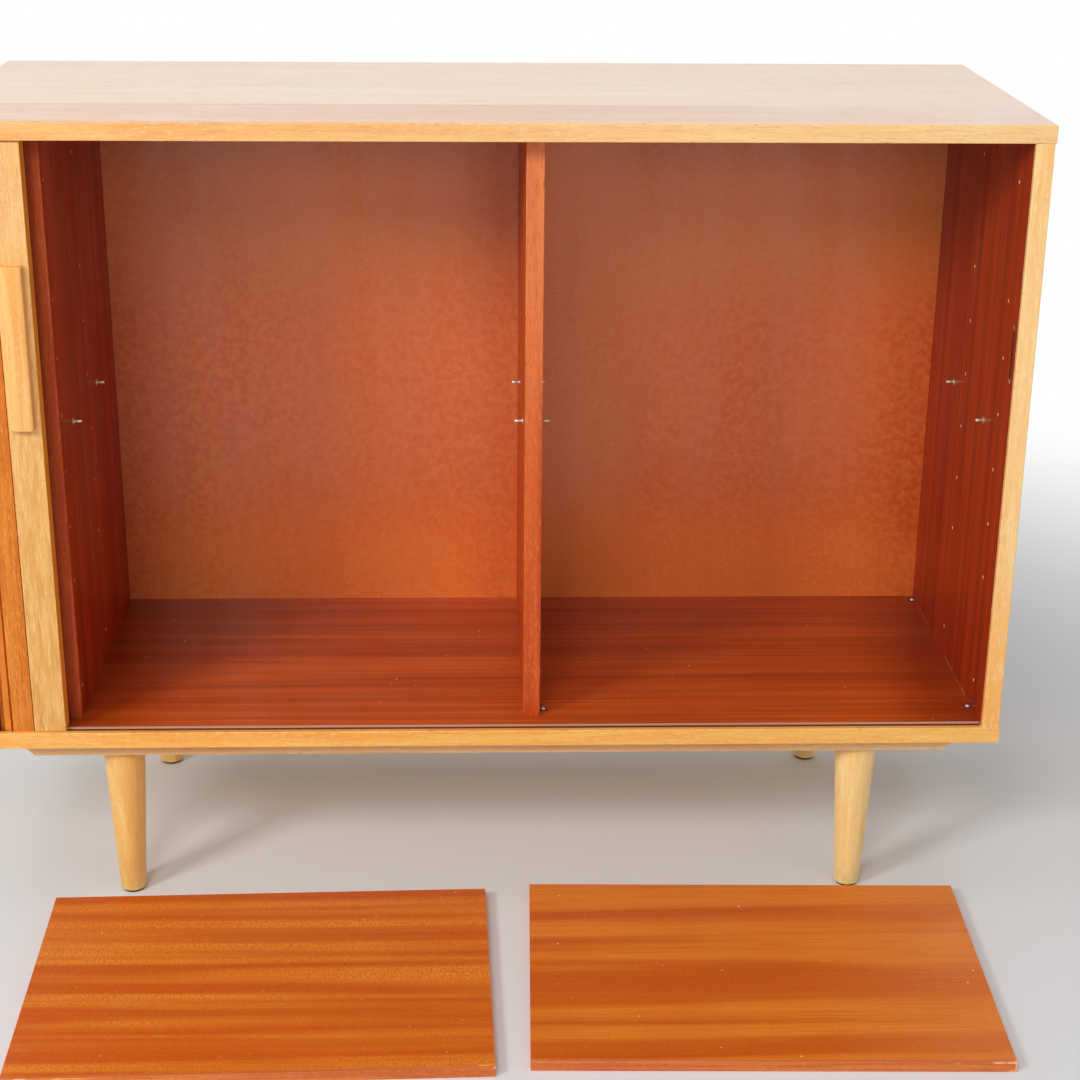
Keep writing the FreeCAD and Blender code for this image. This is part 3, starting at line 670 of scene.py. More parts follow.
@dataclass(frozen=True)
class Cloth(Finish):
    """Plain woven canvas."""

    warp: Tint
    weft: Tint
    _: KW_ONLY
    thread: float = 0.7 * MILLIMETRE
    roughness: float = 0.85
    coat_roughness: float = 0.3
    relief: float = 0.15 * MILLIMETRE

    def surface(self, graph: Graph, seed: float) -> Surface:
        """Work out the cloth at every point.

        Args:
            graph: The material's graph.
            seed: Shift that makes it unlike others.

        Returns:
            The cloth's surface.
        """
        turn = FULL_TURN / self.thread
        across = ((graph.at(Axis.X) + graph.at(Axis.Y)) * turn).sine()
        weave = across * (graph.at(Axis.Z) * turn).sine() * 0.5 + 0.5
        slubs = self.grain(graph, (0.03, 0.0007), seed, detail=2.0).step(0.45, 0.7)
        stains = graph.noise(0.06, seed + 3, detail=3.0).step(0.4, 0.7)
        colour = graph.blend(weave, self.warp, self.weft)
        colour = graph.blend(stains * 0.35 + slubs * 0.25, colour, self.weft)
        return Surface(colour, self.roughness + 0.08 * stains, weave + 0.4 * slubs)


OAK_TOP = Wood(
    Tint(244, 222, 202), Tint(238, 208, 180), Tint(206, 162, 124), Tint(246, 230, 206), stuff="oak",
    run=Axis.X, figure=(1.10, 0.060), growth_lines=3.0, line_size=(0.16, 0.0020), line_share=0.24,
    pore_size=(0.040, 0.0032), pore_share=0.32, roughness=0.40, coat=0.30,
)
OAK_TOP_FRONT = OAK_TOP.stained(
    Tint(237, 200, 174), Tint(229, 186, 156), Tint(196, 142, 108), Tint(244, 218, 196),
    figure=(0.90, 0.040), growth_lines=2.0, line_share=0.28, pore_size=(0.035, 0.0030), pore_share=0.34,
    drifts=(Drift(Axis.X, 0.0, 0.70, Tint(250, 232, 222), 0.65),),
)
OAK_LIP = Wood(
    Tint(244, 186, 112), Tint(237, 165, 88), Tint(208, 126, 56), Tint(250, 210, 148), stuff="oak",
    run=Axis.X, figure=(0.20, 0.012), line_size=(0.030, 0.0016), line_share=0.42,
    fleck_size=(0.0090, 0.0014), fleck_share=0.55, pore_share=0.36,
    drifts=(Drift(Axis.X, -0.50, 0.50, Tint(255, 222, 160), 0.70),),
)
OAK_LIP_LOW = OAK_LIP.stained(
    Tint(253, 194, 98), Tint(245, 170, 70), Tint(214, 130, 42), Tint(255, 212, 130), line_share=0.38,
    fleck_share=0.58, pore_share=0.34, drifts=(Drift(Axis.X, -0.10, 0.45, Tint(255, 206, 110), 0.50),),
)
# Its drift is painted shade: the lower part of the side lippings darker and deeper in colour, where less
# light falls
OAK_LIP_SIDE = OAK_LIP.stained(
    Tint(255, 214, 144), Tint(254, 196, 120), Tint(230, 158, 84), Tint(255, 230, 174), run=Axis.Z,
    line_share=0.28, fleck_share=0.50, pore_share=0.26,
    drifts=(Drift(Axis.Z, 0.52, 0.22, Tint(252, 176, 74), 0.85),),
)
OAK_SIDE = Wood(
    Tint(240, 190, 122), Tint(226, 168, 96), Tint(190, 128, 66), Tint(248, 210, 150), stuff="oak",
    figure=(0.70, 0.045), growth_lines=3.5, line_share=0.36, fleck_share=0.20,
)
OAK_STILE = Wood(
    Tint(238, 186, 106), Tint(223, 158, 74), Tint(186, 122, 48), Tint(250, 208, 138), stuff="oak",
    figure=(0.060, 0.009), line_size=(0.024, 0.0009), line_share=0.50, fleck_size=(0.018, 0.0013),
    fleck_share=0.50, pore_share=0.46, drifts=(Drift(Axis.Z, 0.35, 0.95, Tint(250, 202, 140), 0.50),),
)
# A brighter, more golden copy of the stile's oak for its edge by the side board: painted light bounced from
# the mahogany inside, on a face that lies in shade
OAK_STILE_EDGE_PAINTED_BOUNCE = Wood(
    Tint(254, 182, 60), Tint(244, 160, 44), Tint(214, 124, 28), Tint(255, 204, 96), stuff="oak",
    figure=(0.080, 0.006), line_size=(0.030, 0.0012), line_share=0.34, pore_share=0.30,
)
OAK_HANDLE = Wood(
    Tint(246, 192, 113), Tint(236, 165, 80), Tint(212, 138, 56), Tint(252, 214, 146), stuff="oak",
    figure=(0.25, 0.009), line_size=(0.040, 0.0014), line_share=0.34, fleck_share=0.36, pore_share=0.28,
)
OAK_RAIL = Wood(
    Tint(244, 212, 156), Tint(228, 188, 128), Tint(186, 142, 88), Tint(248, 224, 178), stuff="oak",
    run=Axis.X, figure=(0.60, 0.012), line_share=0.40, fleck_share=0.18, roughness=0.55, coat=0.0,
)
OAK_LEG = Wood(
    Tint(252, 212, 130), Tint(240, 184, 98), Tint(206, 144, 66), Tint(254, 222, 154), stuff="oak",
    figure=(0.16, 0.012), growth_lines=2.5, line_size=(0.040, 0.0013), line_share=0.34, fleck_share=0.25,
    arris=0.0,
)
OAK_LEG_PALE = OAK_LEG.stained(
    Tint(255, 238, 168), Tint(254, 216, 136), Tint(222, 164, 90), Tint(255, 240, 184)
)
# On the bay floor its drifts are painted light and shade: lighter towards the front, a paler painted
# reflection towards the rear, a painted shadow beside the partition that widens towards the rear, and
# painted shade beside the right side board
MAHOGANY = Wood(
    Tint(218, 98, 28), Tint(184, 66, 14), Tint(128, 34, 8), Tint(228, 118, 48), stuff="mahogany",
    run=Axis.X, figure=(1.2, 0.034), line_size=(0.26, 0.0020), line_share=0.56, pore_share=0.28, dust=0.9,
    ribbon=(0.60, 0.010), ribbon_share=0.34, roughness=0.30, coat=0.42, coat_roughness=0.13,
    drifts=(
        Drift(Axis.Y, 0.20, -0.06, Tint(250, 116, 24), 0.55),
        Drift(Axis.Y, 0.10, 0.30, Tint(214, 116, 66), 0.28),
        Drift(Axis.X, -0.35, -0.52, Tint(104, 26, 4), 0.66, lean=0.42),
        Drift(Axis.X, 0.44, 0.57, Tint(112, 28, 6), 0.60),
    ),
)
# Oak outside and mahogany inside, with the wear of the one and the gloss of the other
TWO_SIDED = replace(OAK_SIDE, coat_roughness=MAHOGANY.coat_roughness, specular=0.35)
MAHOGANY_DARK = Wood(
    Tint(190, 62, 12), Tint(156, 42, 6), Tint(100, 20, 2), Tint(206, 88, 34), stuff="mahogany",
    figure=(1.2, 0.024), line_size=(0.30, 0.0022), line_share=0.54, pore_share=0.26,
    ribbon_share=0.34, roughness=0.36, coat=0.10, coat_roughness=0.16, specular=0.2,
)
# A brighter copy of the side mahogany for the whole divider: painted light, standing for the light from the
# left on its left face
MAHOGANY_PAINTED_LIT = MAHOGANY_DARK.stained(
    Tint(224, 96, 24), Tint(192, 66, 12), Tint(132, 36, 6), Tint(230, 118, 48), line_share=0.48,
    ribbon_share=0.30,
)
DIVIDER_LIP = Wood(
    Tint(218, 97, 34), Tint(192, 72, 16), Tint(156, 48, 8), Tint(234, 132, 66), stuff="mahogany",
    figure=(0.30, 0.010), line_size=(0.030, 0.0010), line_share=0.42, fleck_share=0.46, pore_share=0.36,
    drifts=(Drift(Axis.Z, 0.45, 0.92, Tint(250, 158, 98), 0.50),), coat=0.10, specular=0.25,
)
PARTITION_LIP = DIVIDER_LIP.stained(
    Tint(192, 82, 34), Tint(170, 60, 22), Tint(122, 34, 10), Tint(212, 112, 62),
    line_size=(0.030, 0.0011), line_share=0.38, fleck_share=0.26, pore_share=0.34, drifts=(), coat=0.08,
    specular=0.18,
)
PALE_STRIP = Wood(
    Tint(226, 196, 166), Tint(210, 174, 142), Tint(176, 134, 104), Tint(238, 214, 190), stuff="pale",
    run=Axis.X, figure=(0.40, 0.006), line_share=0.22, roughness=0.34,
)
# The strip's wood darkened for its faces down in the groove: painted shade
GROOVE_PAINTED_SHADE = PALE_STRIP.stained(
    Tint(150, 62, 28), Tint(122, 44, 18), Tint(84, 26, 10), Tint(176, 92, 52), line_share=0.40,
    roughness=0.60, coat=0.0,
)
RAW_WOOD = Wood(
    Tint(255, 214, 170), Tint(244, 190, 142), Tint(196, 136, 92), Tint(255, 226, 190), stuff="raw",
    figure=(0.02, 0.004), line_size=(0.010, 0.0008), roughness=0.75, coat=0.0,
)
BEECH = Wood(
    Tint(216, 180, 134), Tint(200, 158, 112), Tint(168, 120, 80), Tint(232, 202, 160), stuff="beech",
    figure=(0.05, 0.004), line_size=(0.015, 0.0008), fleck_share=0.3, roughness=0.60, coat=0.0,
)
TEAK = Wood(
    Tint(228, 138, 44), Tint(208, 112, 26), Tint(166, 76, 16), Tint(242, 168, 84), stuff="teak",
    figure=(0.10, 0.008), line_size=(0.022, 0.0010), line_share=0.48, fleck_size=(0.010, 0.0013),
    fleck_share=0.50, pore_share=0.44, slat_shade=0.14, arris=0.0, roughness=0.46, coat=0.06, specular=0.25,
)
SHELF_VENEER = Wood(
    Tint(244, 142, 40), Tint(208, 90, 10), Tint(168, 60, 6), Tint(250, 164, 64), stuff="veneer",
    run=Axis.X, figure=(1.20, 0.040), contrast=0.10, line_size=(0.14, 0.0014), line_share=0.34,
    mottle_share=0.42, fleck_size=(0.0034, 0.0012), fleck_share=0.18, pore_share=0.20, dust=0.35,
    coat=0.04, specular=0.16,
)
SHELF_PLAIN = replace(
    SHELF_VENEER, pale=Tint(238, 134, 36), mottle_share=0.10, line_share=0.44, dust=0.9,
    drifts=(Drift(Axis.X, 0.30, 0.58, Tint(240, 148, 72), 0.40),),
)
# Its strong rub makes the front arrises paler than wear alone would: partly rubbed wear and partly a painted
# highlight
SHELF_LIP = Wood(
    Tint(228, 124, 48), Tint(206, 98, 30), Tint(158, 66, 18), Tint(252, 184, 116), stuff="mahogany",
    run=Axis.X, figure=(0.30, 0.008), line_share=0.34, fleck_share=0.20, rub_and_highlight=2.4, specular=0.4,
)
INNER_BACK = Hardboard(
    Tint(242, 122, 36), Tint(234, 110, 26), Tint(190, 84, 18), Tint(248, 160, 92), stuff="stained",
    # The rim is painted shade at both ends of the board, beside the walls
    rim=Tint(184, 58, 0), roughness=0.24, coat=0.27,
    # Its drifts are painted light and shade: lighter low down, darker from the middle up, lighter again in a
    # high band, a painted shadow of the top along its upper edge, painted shade towards the partition and
    # beside the divider in the left bay, and painted light beside the divider in the right bay
    drifts=(
        Drift(Axis.Z, 0.38, 0.28, Tint(255, 142, 62), 0.32),
        Drift(Axis.Z, 0.31, 0.42, Tint(200, 82, 9), 0.50),
        Drift(Axis.Z, 0.59, 0.80, Tint(255, 152, 64), 0.80),
        Drift(Axis.Z, 0.79, 0.86, Tint(130, 72, 50), 0.45),
        Drift(Axis.X, -0.16, -0.42, Tint(176, 82, 22), 0.50),
        Drift(Axis.X, -0.06, 0.03, Tint(194, 76, 8), 0.50, stop=0.06),
        Drift(Axis.X, 0.22, 0.09, Tint(255, 148, 58), 0.75, stop=0.05),
    ),
)
REAR_BOARD = Hardboard(
    Tint(150, 106, 70), Tint(128, 86, 54), Tint(84, 54, 34), Tint(196, 160, 122), stuff="plain",
    roughness=0.62,
)
ZINC = Metal(Tint(200, 196, 186), Tint(160, 154, 142), Tint(70, 58, 44), stuff="zinc")
BRIGHT_ZINC = Metal(
    Tint(240, 238, 232), Tint(214, 210, 200), Tint(120, 104, 88), stuff="zinc", dirt_share=0.2, shine=0.4
)
PIN_STEEL = Metal(
    Tint(232, 220, 190), Tint(190, 174, 144), Tint(110, 82, 56), stuff="steel", dirt_share=0.24, shine=0.7
)
KEEPER_STEEL = Metal(Tint(104, 92, 90), Tint(72, 60, 58), Tint(40, 30, 28), stuff="steel", roughness=0.38)
BRACKET_STAIN = Moulded(Tint(136, 48, 22), Tint(96, 36, 24), stuff="stained", roughness=0.45)
CATCH_PLASTIC = Moulded(Tint(74, 46, 30), Tint(112, 82, 60), stuff="plastic")
FERRITE = Moulded(Tint(40, 40, 42), Tint(76, 74, 72), stuff="ferrite", roughness=0.6)
RUBBER = Moulded(Tint(34, 30, 28), Tint(70, 64, 58), stuff="rubber", roughness=0.7)
CANVAS = Cloth(Tint(178, 162, 124), Tint(150, 132, 96), stuff="canvas")
FLOOR = Finish(stuff="plain", roughness=0.80, coat_roughness=0.3)


def soften(node: str, width: float) -> None:
    """Round the arrises of a board of the frame, so that they catch the light.

    Args:
        node: Name of the node.
        width: Width of the rounding.
    """
    board = frame["nodes"][node]
    weld = board.modifiers.new("join_corners", "WELD")
    weld.merge_threshold = WELD_REACH
    bevel = board.modifiers.new("round_arrises", "BEVEL")
    bevel.width = width
    bevel.segments = ROUND_STEPS
    bevel.limit_method = "ANGLE"
    bevel.angle_limit = ROUNDED_ANGLE
    bevel.harden_normals = True


def stand(name: str, data: bpy.types.ID) -> bpy.types.Object:
    """Put a new object in the scene.

    Args:
        name: Name of the object.
        data: Its mesh, lamp or camera.

    Returns:
        The object.
    """
    thing = bpy.data.objects.new(name, data)
    bpy.context.scene.collection.objects.link(thing)
    return thing


class Maker:
    """Collects the faces of one piece and turns them into an object."""

    def __init__(self) -> None:
        """Start with no faces."""
        self.mesh = bmesh.new()

    def loft(self, rings: Sequence[Sequence[Vector]]) -> None:
        """Skin closed rings that have the same number of points, and cap both ends.

        Args:
            rings: The rings, in order along the piece.
        """
        skins = [[self.mesh.verts.new(point) for point in ring] for ring in rings]
        for low, high in zip(skins, skins[1:]):
            for i in range(len(low)):
                self.mesh.faces.new((low[i - 1], low[i], high[i], high[i - 1]))
        self.mesh.faces.new(skins[0][::-1])
        self.mesh.faces.new(skins[-1])

    def prism(self, plan: Iterable[Pair], *levels: float) -> None:
        """Raise a plan in X and Y between two heights."""
        self.loft([[Vector((x, y, z)) for x, y in plan] for z in levels])

    def lathe(self, profile: Iterable[Pair], place: Matrix, segments: int) -> None:
        """Turn a profile about the local Z axis.

        Args:
            profile: Points of radius and height, in order.
            place: Where the turned shape goes.
            segments: Number of sides of each ring.
        """
        turns = [FULL_TURN * i / segments for i in range(segments)]
        self.loft([
            [place @ Vector((radius * math.cos(turn), radius * math.sin(turn), height)) for turn in turns]
            for radius, height in profile
        ])

    def done(
        self, name: str, finish: Finish, seed: float, nodes: Sequence[str],
        body: str | None = "carcass",
    ) -> bpy.types.Object:
        """Make the object, set it on its body and hide the nodes that it stands for.

        Args:
            name: Name of the piece.
            finish: Its finish.
            seed: Shift that makes it unlike others.
            nodes: Nodes that it replaces.
            body: The body that it rides on, or None for a piece that is set on no body.

        Returns:
            The new object.
        """
        bmesh.ops.recalc_face_normals(self.mesh, faces=self.mesh.faces[:])
        data = bpy.data.meshes.new(name)
        self.mesh.to_mesh(data)
        self.mesh.free()
        data.polygons.foreach_set("use_smooth", [True] * len(data.polygons))
        data.set_sharp_from_angle(angle=SHARP_ANGLE)
        data.materials.append(finish.material(name, seed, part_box(nodes[0]) if nodes else None))
        piece = stand(name, data)
        if body:
            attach(piece, body)
        if nodes:
            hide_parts(*nodes)
        LOG.info("built %s for %s, %d faces", name, ", ".join(nodes) or "no node", len(data.polygons))
        return piece


def face_middle(box: Box, out: Vector) -> Vector:
    """Middle of the side of a box that faces one way along an axis.

    Args:
        box: Lowest and highest corner.
        out: The way that the side faces.

    Returns:
        The place.
    """
    low, high = box
    middle = (low + high) / 2
    return Vector([high[i] if out[i] > 0 else low[i] if out[i] < 0 else middle[i] for i in range(3)])


def facing(place: Vector, way: Vector) -> Matrix:
    """A place whose local Z axis points a given way."""
    return Matrix.Translation(place) @ way.to_track_quat("Z", "Y").to_matrix().to_4x4()


def islands(node: str) -> list[Box]:
    """Boxes of the separate solids of a node, from left to right, front to rear and low to high.

    Args:
        node: Name of the node.

    Returns:
        Lowest and highest corner of each solid.
    """
    mesh = bmesh.new()
    mesh.from_mesh(frame["nodes"][node].data)
    bmesh.ops.remove_doubles(mesh, verts=mesh.verts[:], dist=WELD_REACH)
    waiting = set(mesh.verts)
    boxes = []
    while waiting:
        front = [waiting.pop()]
        group = list(front)
        while front:
            found = {vert for edge in front.pop().link_edges for vert in edge.verts} & waiting
            waiting -= found
            front += found
            group += found
        sides = [[vert.co[i] for vert in group] for i in range(3)]
        boxes.append((Vector([min(side) for side in sides]), Vector([max(side) for side in sides])))
    mesh.free()
    return sorted(boxes, key=lambda box: tuple(round(c, 5) for c in (box[0] + box[1])))


@dataclass(frozen=True)
class Screw:
    """A slotted wood screw. Its head's top is at height 0 and its point lies below.

    The slot's reach and the flat top's rings are shares of the head's radius, the slot's depth and
    the dome's fall shares of the head's depth, the thread's root and the end above the point shares
    of the shank's radius, and the crest a share of the pitch. The dome's angles are in degrees.
    """

    shank: float = 1.6 * MILLIMETRE
    head: float = 3.2 * MILLIMETRE
    head_depth: float = 1.76 * MILLIMETRE
    length: float = 15.0 * MILLIMETRE
    domed: bool = False
    thread_pitch: float = 1.1 * MILLIMETRE
    slot_width: float = 0.8 * MILLIMETRE
    slot_reach: float = 0.86
    slot_depth: float = 0.55
    flat_rings: Pair = (0.55, 0.97)
    dome_angles: tuple[int, ...] = (25, 45, 62, 78)
    dome_fall: float = 0.9
    thread_root: float = 0.78
    thread_crest: float = 0.45
    end_share: float = 0.70
    segments: int = 28

    def profile(self) -> list[Pair]:
        """Radius and height of the head's top, its side, the threads and the point."""
        fine = 0.02 * MILLIMETRE
        rise = self.head_depth if self.domed else 0.0
        points = [(fine, rise)]
        if self.domed:
            for turn in map(math.radians, self.dome_angles):
                fall = (1 - math.cos(turn)) * self.dome_fall
                points.append((self.head * math.sin(turn), rise * (1 - fall)))
            points += [(self.head, 0.0), (self.shank, -fine)]
        else:
            points += [(self.head * share, 0.0) for share in self.flat_rings]
            points += [(self.head, -fine), (self.shank, -self.head_depth)]
        depth = max(-points[-1][1], fine) + self.thread_pitch
        while depth < self.length - 2 * self.shank:
            crest = -depth - self.thread_pitch * self.thread_crest
            points += [(self.shank * self.thread_root, -depth), (self.shank, crest)]
            depth += self.thread_pitch
        return [*points, (self.shank * self.end_share, -depth), (fine, -self.length)]

    def add(self, maker: Maker, box: Box, out: Vector, turn: float) -> None:
        """Add one screw to a piece.

        Args:
            maker: The piece that takes it.
            box: Box of the plain screw that it stands for.
            out: The way that the head faces.
            turn: How far the slot is turned, in degrees.
        """
        single = Maker()
        single.lathe(self.profile(), Matrix.Identity(4), self.segments)
        half = self.slot_width / 2
        reach = self.head * self.slot_reach
        for normal, gap in ((REARWARD, half), (-REARWARD, half), (RIGHT, reach), (-RIGHT, reach)):
            geometry = single.mesh.verts[:] + single.mesh.edges[:] + single.mesh.faces[:]
            bmesh.ops.bisect_plane(single.mesh, geom=geometry, plane_co=normal * gap, plane_no=normal)
        single.mesh.normal_update()
        # Faces within the slot that look up and belong to the head's top
        sunk = []
        for face in single.mesh.faces:
            middle = face.calc_center_median()
            inside = abs(middle.y) < half and abs(middle.x) < reach
            if inside and face.normal.z > 0.3 and middle.z > -MILLIMETRE / 10:
                sunk.append(face)
        depth = self.head_depth * self.slot_depth
        bmesh.ops.inset_region(single.mesh, faces=sunk, thickness=half / 10, depth=-depth)
        seat = face_middle(box, out) - out * (self.head_depth if self.domed else 0.0)
        single.mesh.transform(facing(seat, out) @ Matrix.Rotation(math.radians(turn), 4, "Z"))
        data = bpy.data.meshes.new("screw")
        single.mesh.to_mesh(data)
        single.mesh.free()
        maker.mesh.from_mesh(data)
        bpy.data.meshes.remove(data)

    def stand_in(self, node: str, out: Vector, turns: Pair, finish: Metal, seed: float) -> None:
        """Build a node's screws anew, with slots.

        Args:
            node: Node of the plain screws.
            out: The way that their heads face.
            turns: How far the first slot is turned, and how much further each next one, in degrees.
            finish: Their plating.
            seed: Shift that makes it unlike others.
        """
        maker = Maker()
        for number, box in enumerate(islands(node)):
            self.add(maker, box, out, turns[0] + turns[1] * number)
        maker.done(node + "_slotted", finish, seed, [node])


@dataclass
class Carcass:
    """Top, bottom and side boards with their lippings, track strips and dowels."""

    veneer_joint: float = 0.126
    skin: float = 0.15 * MILLIMETRE
    arris: float = 0.5 * MILLIMETRE
    peg_hole: float = 10.0 * MILLIMETRE

    def build(self) -> None:
        """Dress every board of the carcass."""
        self.dress_top()
        self.dress_bottom()
        self.dress_sides()
        self.dress_trim()

    def two_sided(self, node: str, graph: Graph, outside: Surface, seed: float) -> None:
        """Wear the joined faces of a board that is oak outside and mahogany inside, and dress it."""
        dress(node, graph.finish(TWO_SIDED.worn(graph, outside, seed), TWO_SIDED))

    def dress_top(self) -> None:
        """Top board in two leaves of veneer, with an edging at its ends and rear."""
        node = "top_panel"
        low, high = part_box(node)
        graph = Graph("oak_" + node, (low, high))
        joint = CARCASS_FRONT + self.veneer_joint
        leaf = graph.at(Axis.Y).step(joint, joint + self.skin)
        leaves = OAK_TOP_FRONT.surface(graph, 3.0).under(leaf, OAK_TOP.surface(graph, 8.0))
        out = graph.at(Axis.X).most(-1.0 * graph.at(Axis.X)) - high.x
        rim = out.most(graph.at(Axis.Y) - high.y).step(-self.skin, -self.skin / 2)
        edged = leaves.under(rim, replace(OAK_LIP_SIDE, run=Axis.Y).surface(graph, 15.0))
        inner = graph.at(Axis.Z).step(low.z + self.skin, low.z + self.skin / 2)
        self.two_sided(node, graph, edged.under(inner, MAHOGANY.surface(graph, 21.0)), 5.0)

    def dress_bottom(self) -> None:
        """Bottom board."""
        node = "bottom_panel"
        low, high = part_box(node)
        graph = Graph("oak_" + node, (low, high))
        inner = graph.at(Axis.Z).step(high.z - self.skin, high.z - self.skin / 2)
        faces = OAK_RAIL.surface(graph, 13.0).under(inner, MAHOGANY.surface(graph, 34.0))
        self.two_sided(node, graph, faces, 6.0)

    def dress_sides(self) -> None:
        """Side boards, with pale wood inside the right board's peg holes."""
        for node, way, seed in (("left_side_panel", -1, 44.0), ("right_side_panel", 1, 51.0)):
            low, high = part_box(node)
            inner = max(low.x, -high.x)
            graph = Graph("oak_" + node, (low, high))
            out = graph.at(Axis.X) * way
            end = inner + self.peg_hole
            cut = out.step(inner + self.skin, inner + 2 * self.skin) * out.step(end, end - MILLIMETRE)
            holed = OAK_SIDE.surface(graph, seed).under(cut, RAW_WOOD.surface(graph, seed + 7))
            mask = out.step(inner + self.skin, inner + self.skin / 2)
            self.two_sided(node, graph, holed.under(mask, MAHOGANY_DARK.surface(graph, seed + 4)), seed)

    def dress_trim(self) -> None:
        """Lippings, track strips and dowels."""
        for node, wood, seed in (
            ("top_front_lipping", OAK_LIP, 61.0), ("bottom_front_lipping", OAK_LIP_LOW, 67.0),
            ("left_side_lipping", OAK_LIP_SIDE, 71.0), ("right_side_lipping", OAK_LIP_SIDE, 73.0),
        ):
            wood.dress(node, seed)
            soften(node, self.arris)
        for node, way, seed in (("top_track_strip", -1, 81.0), ("bottom_track_strip", 1, 83.0)):
            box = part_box(node)
            graph = Graph("pale_" + node, box)
            edge = max(way * corner.z for corner in box)
            # Only the strip's face that looks towards the middle of the cabinet stays pale; its faces down
            # in the groove take painted shade
            mask = (graph.at(Axis.Z) * way).step(edge - self.skin, edge - 3 * self.skin)
            strip_with_painted_shade = PALE_STRIP.surface(graph, seed).under(mask, GROOVE_PAINTED_SHADE.surface(graph, seed + 2))
            dress(node, graph.finish(strip_with_painted_shade, PALE_STRIP))
        BEECH.dress("side_dowels", 87.0)


@dataclass
class Interior:
    """Partition, divider, inner back, shelf pins and corner brackets."""

    skin: float = 0.15 * MILLIMETRE
    arris: float = 0.7 * MILLIMETRE
    pin_segments: int = 32
    bracket_screw: Screw = Screw(
        shank=1.4 * MILLIMETRE, head=2.9 * MILLIMETRE, head_depth=1.6 * MILLIMETRE,
        length=9.0 * MILLIMETRE, domed=True, slot_width=0.6 * MILLIMETRE,
    )

    def build(self) -> None:
        """Dress the uprights and build the small fittings."""
        self.dress_upright("tambour_partition", MAHOGANY_DARK, 91.0)
        self.dress_upright("centre_divider", MAHOGANY_PAINTED_LIT, 97.0)
        for node, finish, seed in (
            ("tambour_partition_lipping", PARTITION_LIP, 103.0),
            ("centre_divider_lipping", DIVIDER_LIP, 107.0), ("partition_dowels", BEECH, 109.0),
            ("divider_dowels", BEECH, 113.0), ("false_back", INNER_BACK, 121.0),
            ("divider_corner_brackets", BRACKET_STAIN, 127.0),
            ("right_side_corner_brackets", BRACKET_STAIN, 131.0),
        ):
            finish.dress(node, seed)
            if node.endswith("_lipping"):
                soften(node, self.arris)
        self.build_pins()
        self.build_bracket_screws()

    def dress_upright(self, node: str, wood: Wood, seed: float) -> None:
        """Mahogany faces with pale wood inside the peg holes.

        Args:
            node: The upright's node.
            wood: Veneer of its faces.
            seed: Shift that makes it unlike others.
        """
        low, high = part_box(node)
        graph = Graph("mahogany_" + node, (low, high))
        inward = (graph.at(Axis.X) - low.x).least(high.x - graph.at(Axis.X))
        cut = inward.step(self.skin, 2 * self.skin)
        joined = wood.surface(graph, seed).under(cut, RAW_WOOD.surface(graph, seed + 3))
        dress(node, graph.finish(wood.worn(graph, joined, seed), wood))

    def build_pins(self) -> None:
        """Turned shelf pins with a collar, a neck and a bullet tip."""
        sides = (("partition", 1), ("divider_left", -1), ("divider_right", 1), ("right_side", -1))
        for number, (side, way) in enumerate(sides):
            node = side + "_shelf_pins"
            maker = Maker()
            for low, high in islands(node):
                profile = self.pin_profile((high.z - low.z) / 2, high.x - low.x)
                root = face_middle((low, high), RIGHT * -way)
                maker.lathe(profile, facing(root, RIGHT * way), self.pin_segments)
            maker.done(node + "_turned", PIN_STEEL, 137.0 + number, [node])

    def pin_profile(self, collar: float, length: float) -> list[Pair]:
        """Radius and height along one pin.

        Args:
            collar: Radius of the collar.
            length: Whole length, from the buried end to the tip.

        Returns:
            The profile, from the buried end to the tip.
        """
        wall = length - PIN_REACH
        fine = 0.05 * MILLIMETRE
        shank = collar * PIN_TURNING[0][0]
        barrel = collar * PIN_TURNING[-1][0]
        turned = [(collar * share, wall + reach * MILLIMETRE) for share, reach in PIN_TURNING]
        arc = (0.0, 0.4, 0.8, 1.2)
        tip = [(barrel * math.cos(a), length - barrel * 0.5 * (1 - math.sin(a))) for a in arc]
        return [(fine, 0.0), (shank * 0.9, 0.0), (shank, 6 * fine), *turned, *tip, (fine, length)]

    def build_bracket_screws(self) -> None:
        """Slotted round heads on the brackets, one down and one sideways in each."""
        node = "corner_bracket_screws"
        down = Maker()
        across = Maker()
        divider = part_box("centre_divider")[1].x
        for number, (low, high) in enumerate(islands(node)):
            turn = 37.0 * number
            if high.z - low.z > high.x - low.x:
                self.bracket_screw.add(down, (low, high), UP, turn)
            else:
                self.bracket_screw.add(across, (low, high), RIGHT if low.x < divider else -RIGHT, turn)
        down.done(node + "_down", BRIGHT_ZINC, 149.0, [node])
        across.done(node + "_across", BRACKET_STAIN, 150.0, [])


@dataclass
class Rear:
    """Rear panel and its screws."""

    screw: Screw = Screw()

    def build(self) -> None:
        """Dress the panel and build the screws."""
        REAR_BOARD.dress("rear_back_panel", 151.0)
        self.screw.stand_in("rear_back_screws", REARWARD, (0.0, 53.0), ZINC, 157.0)


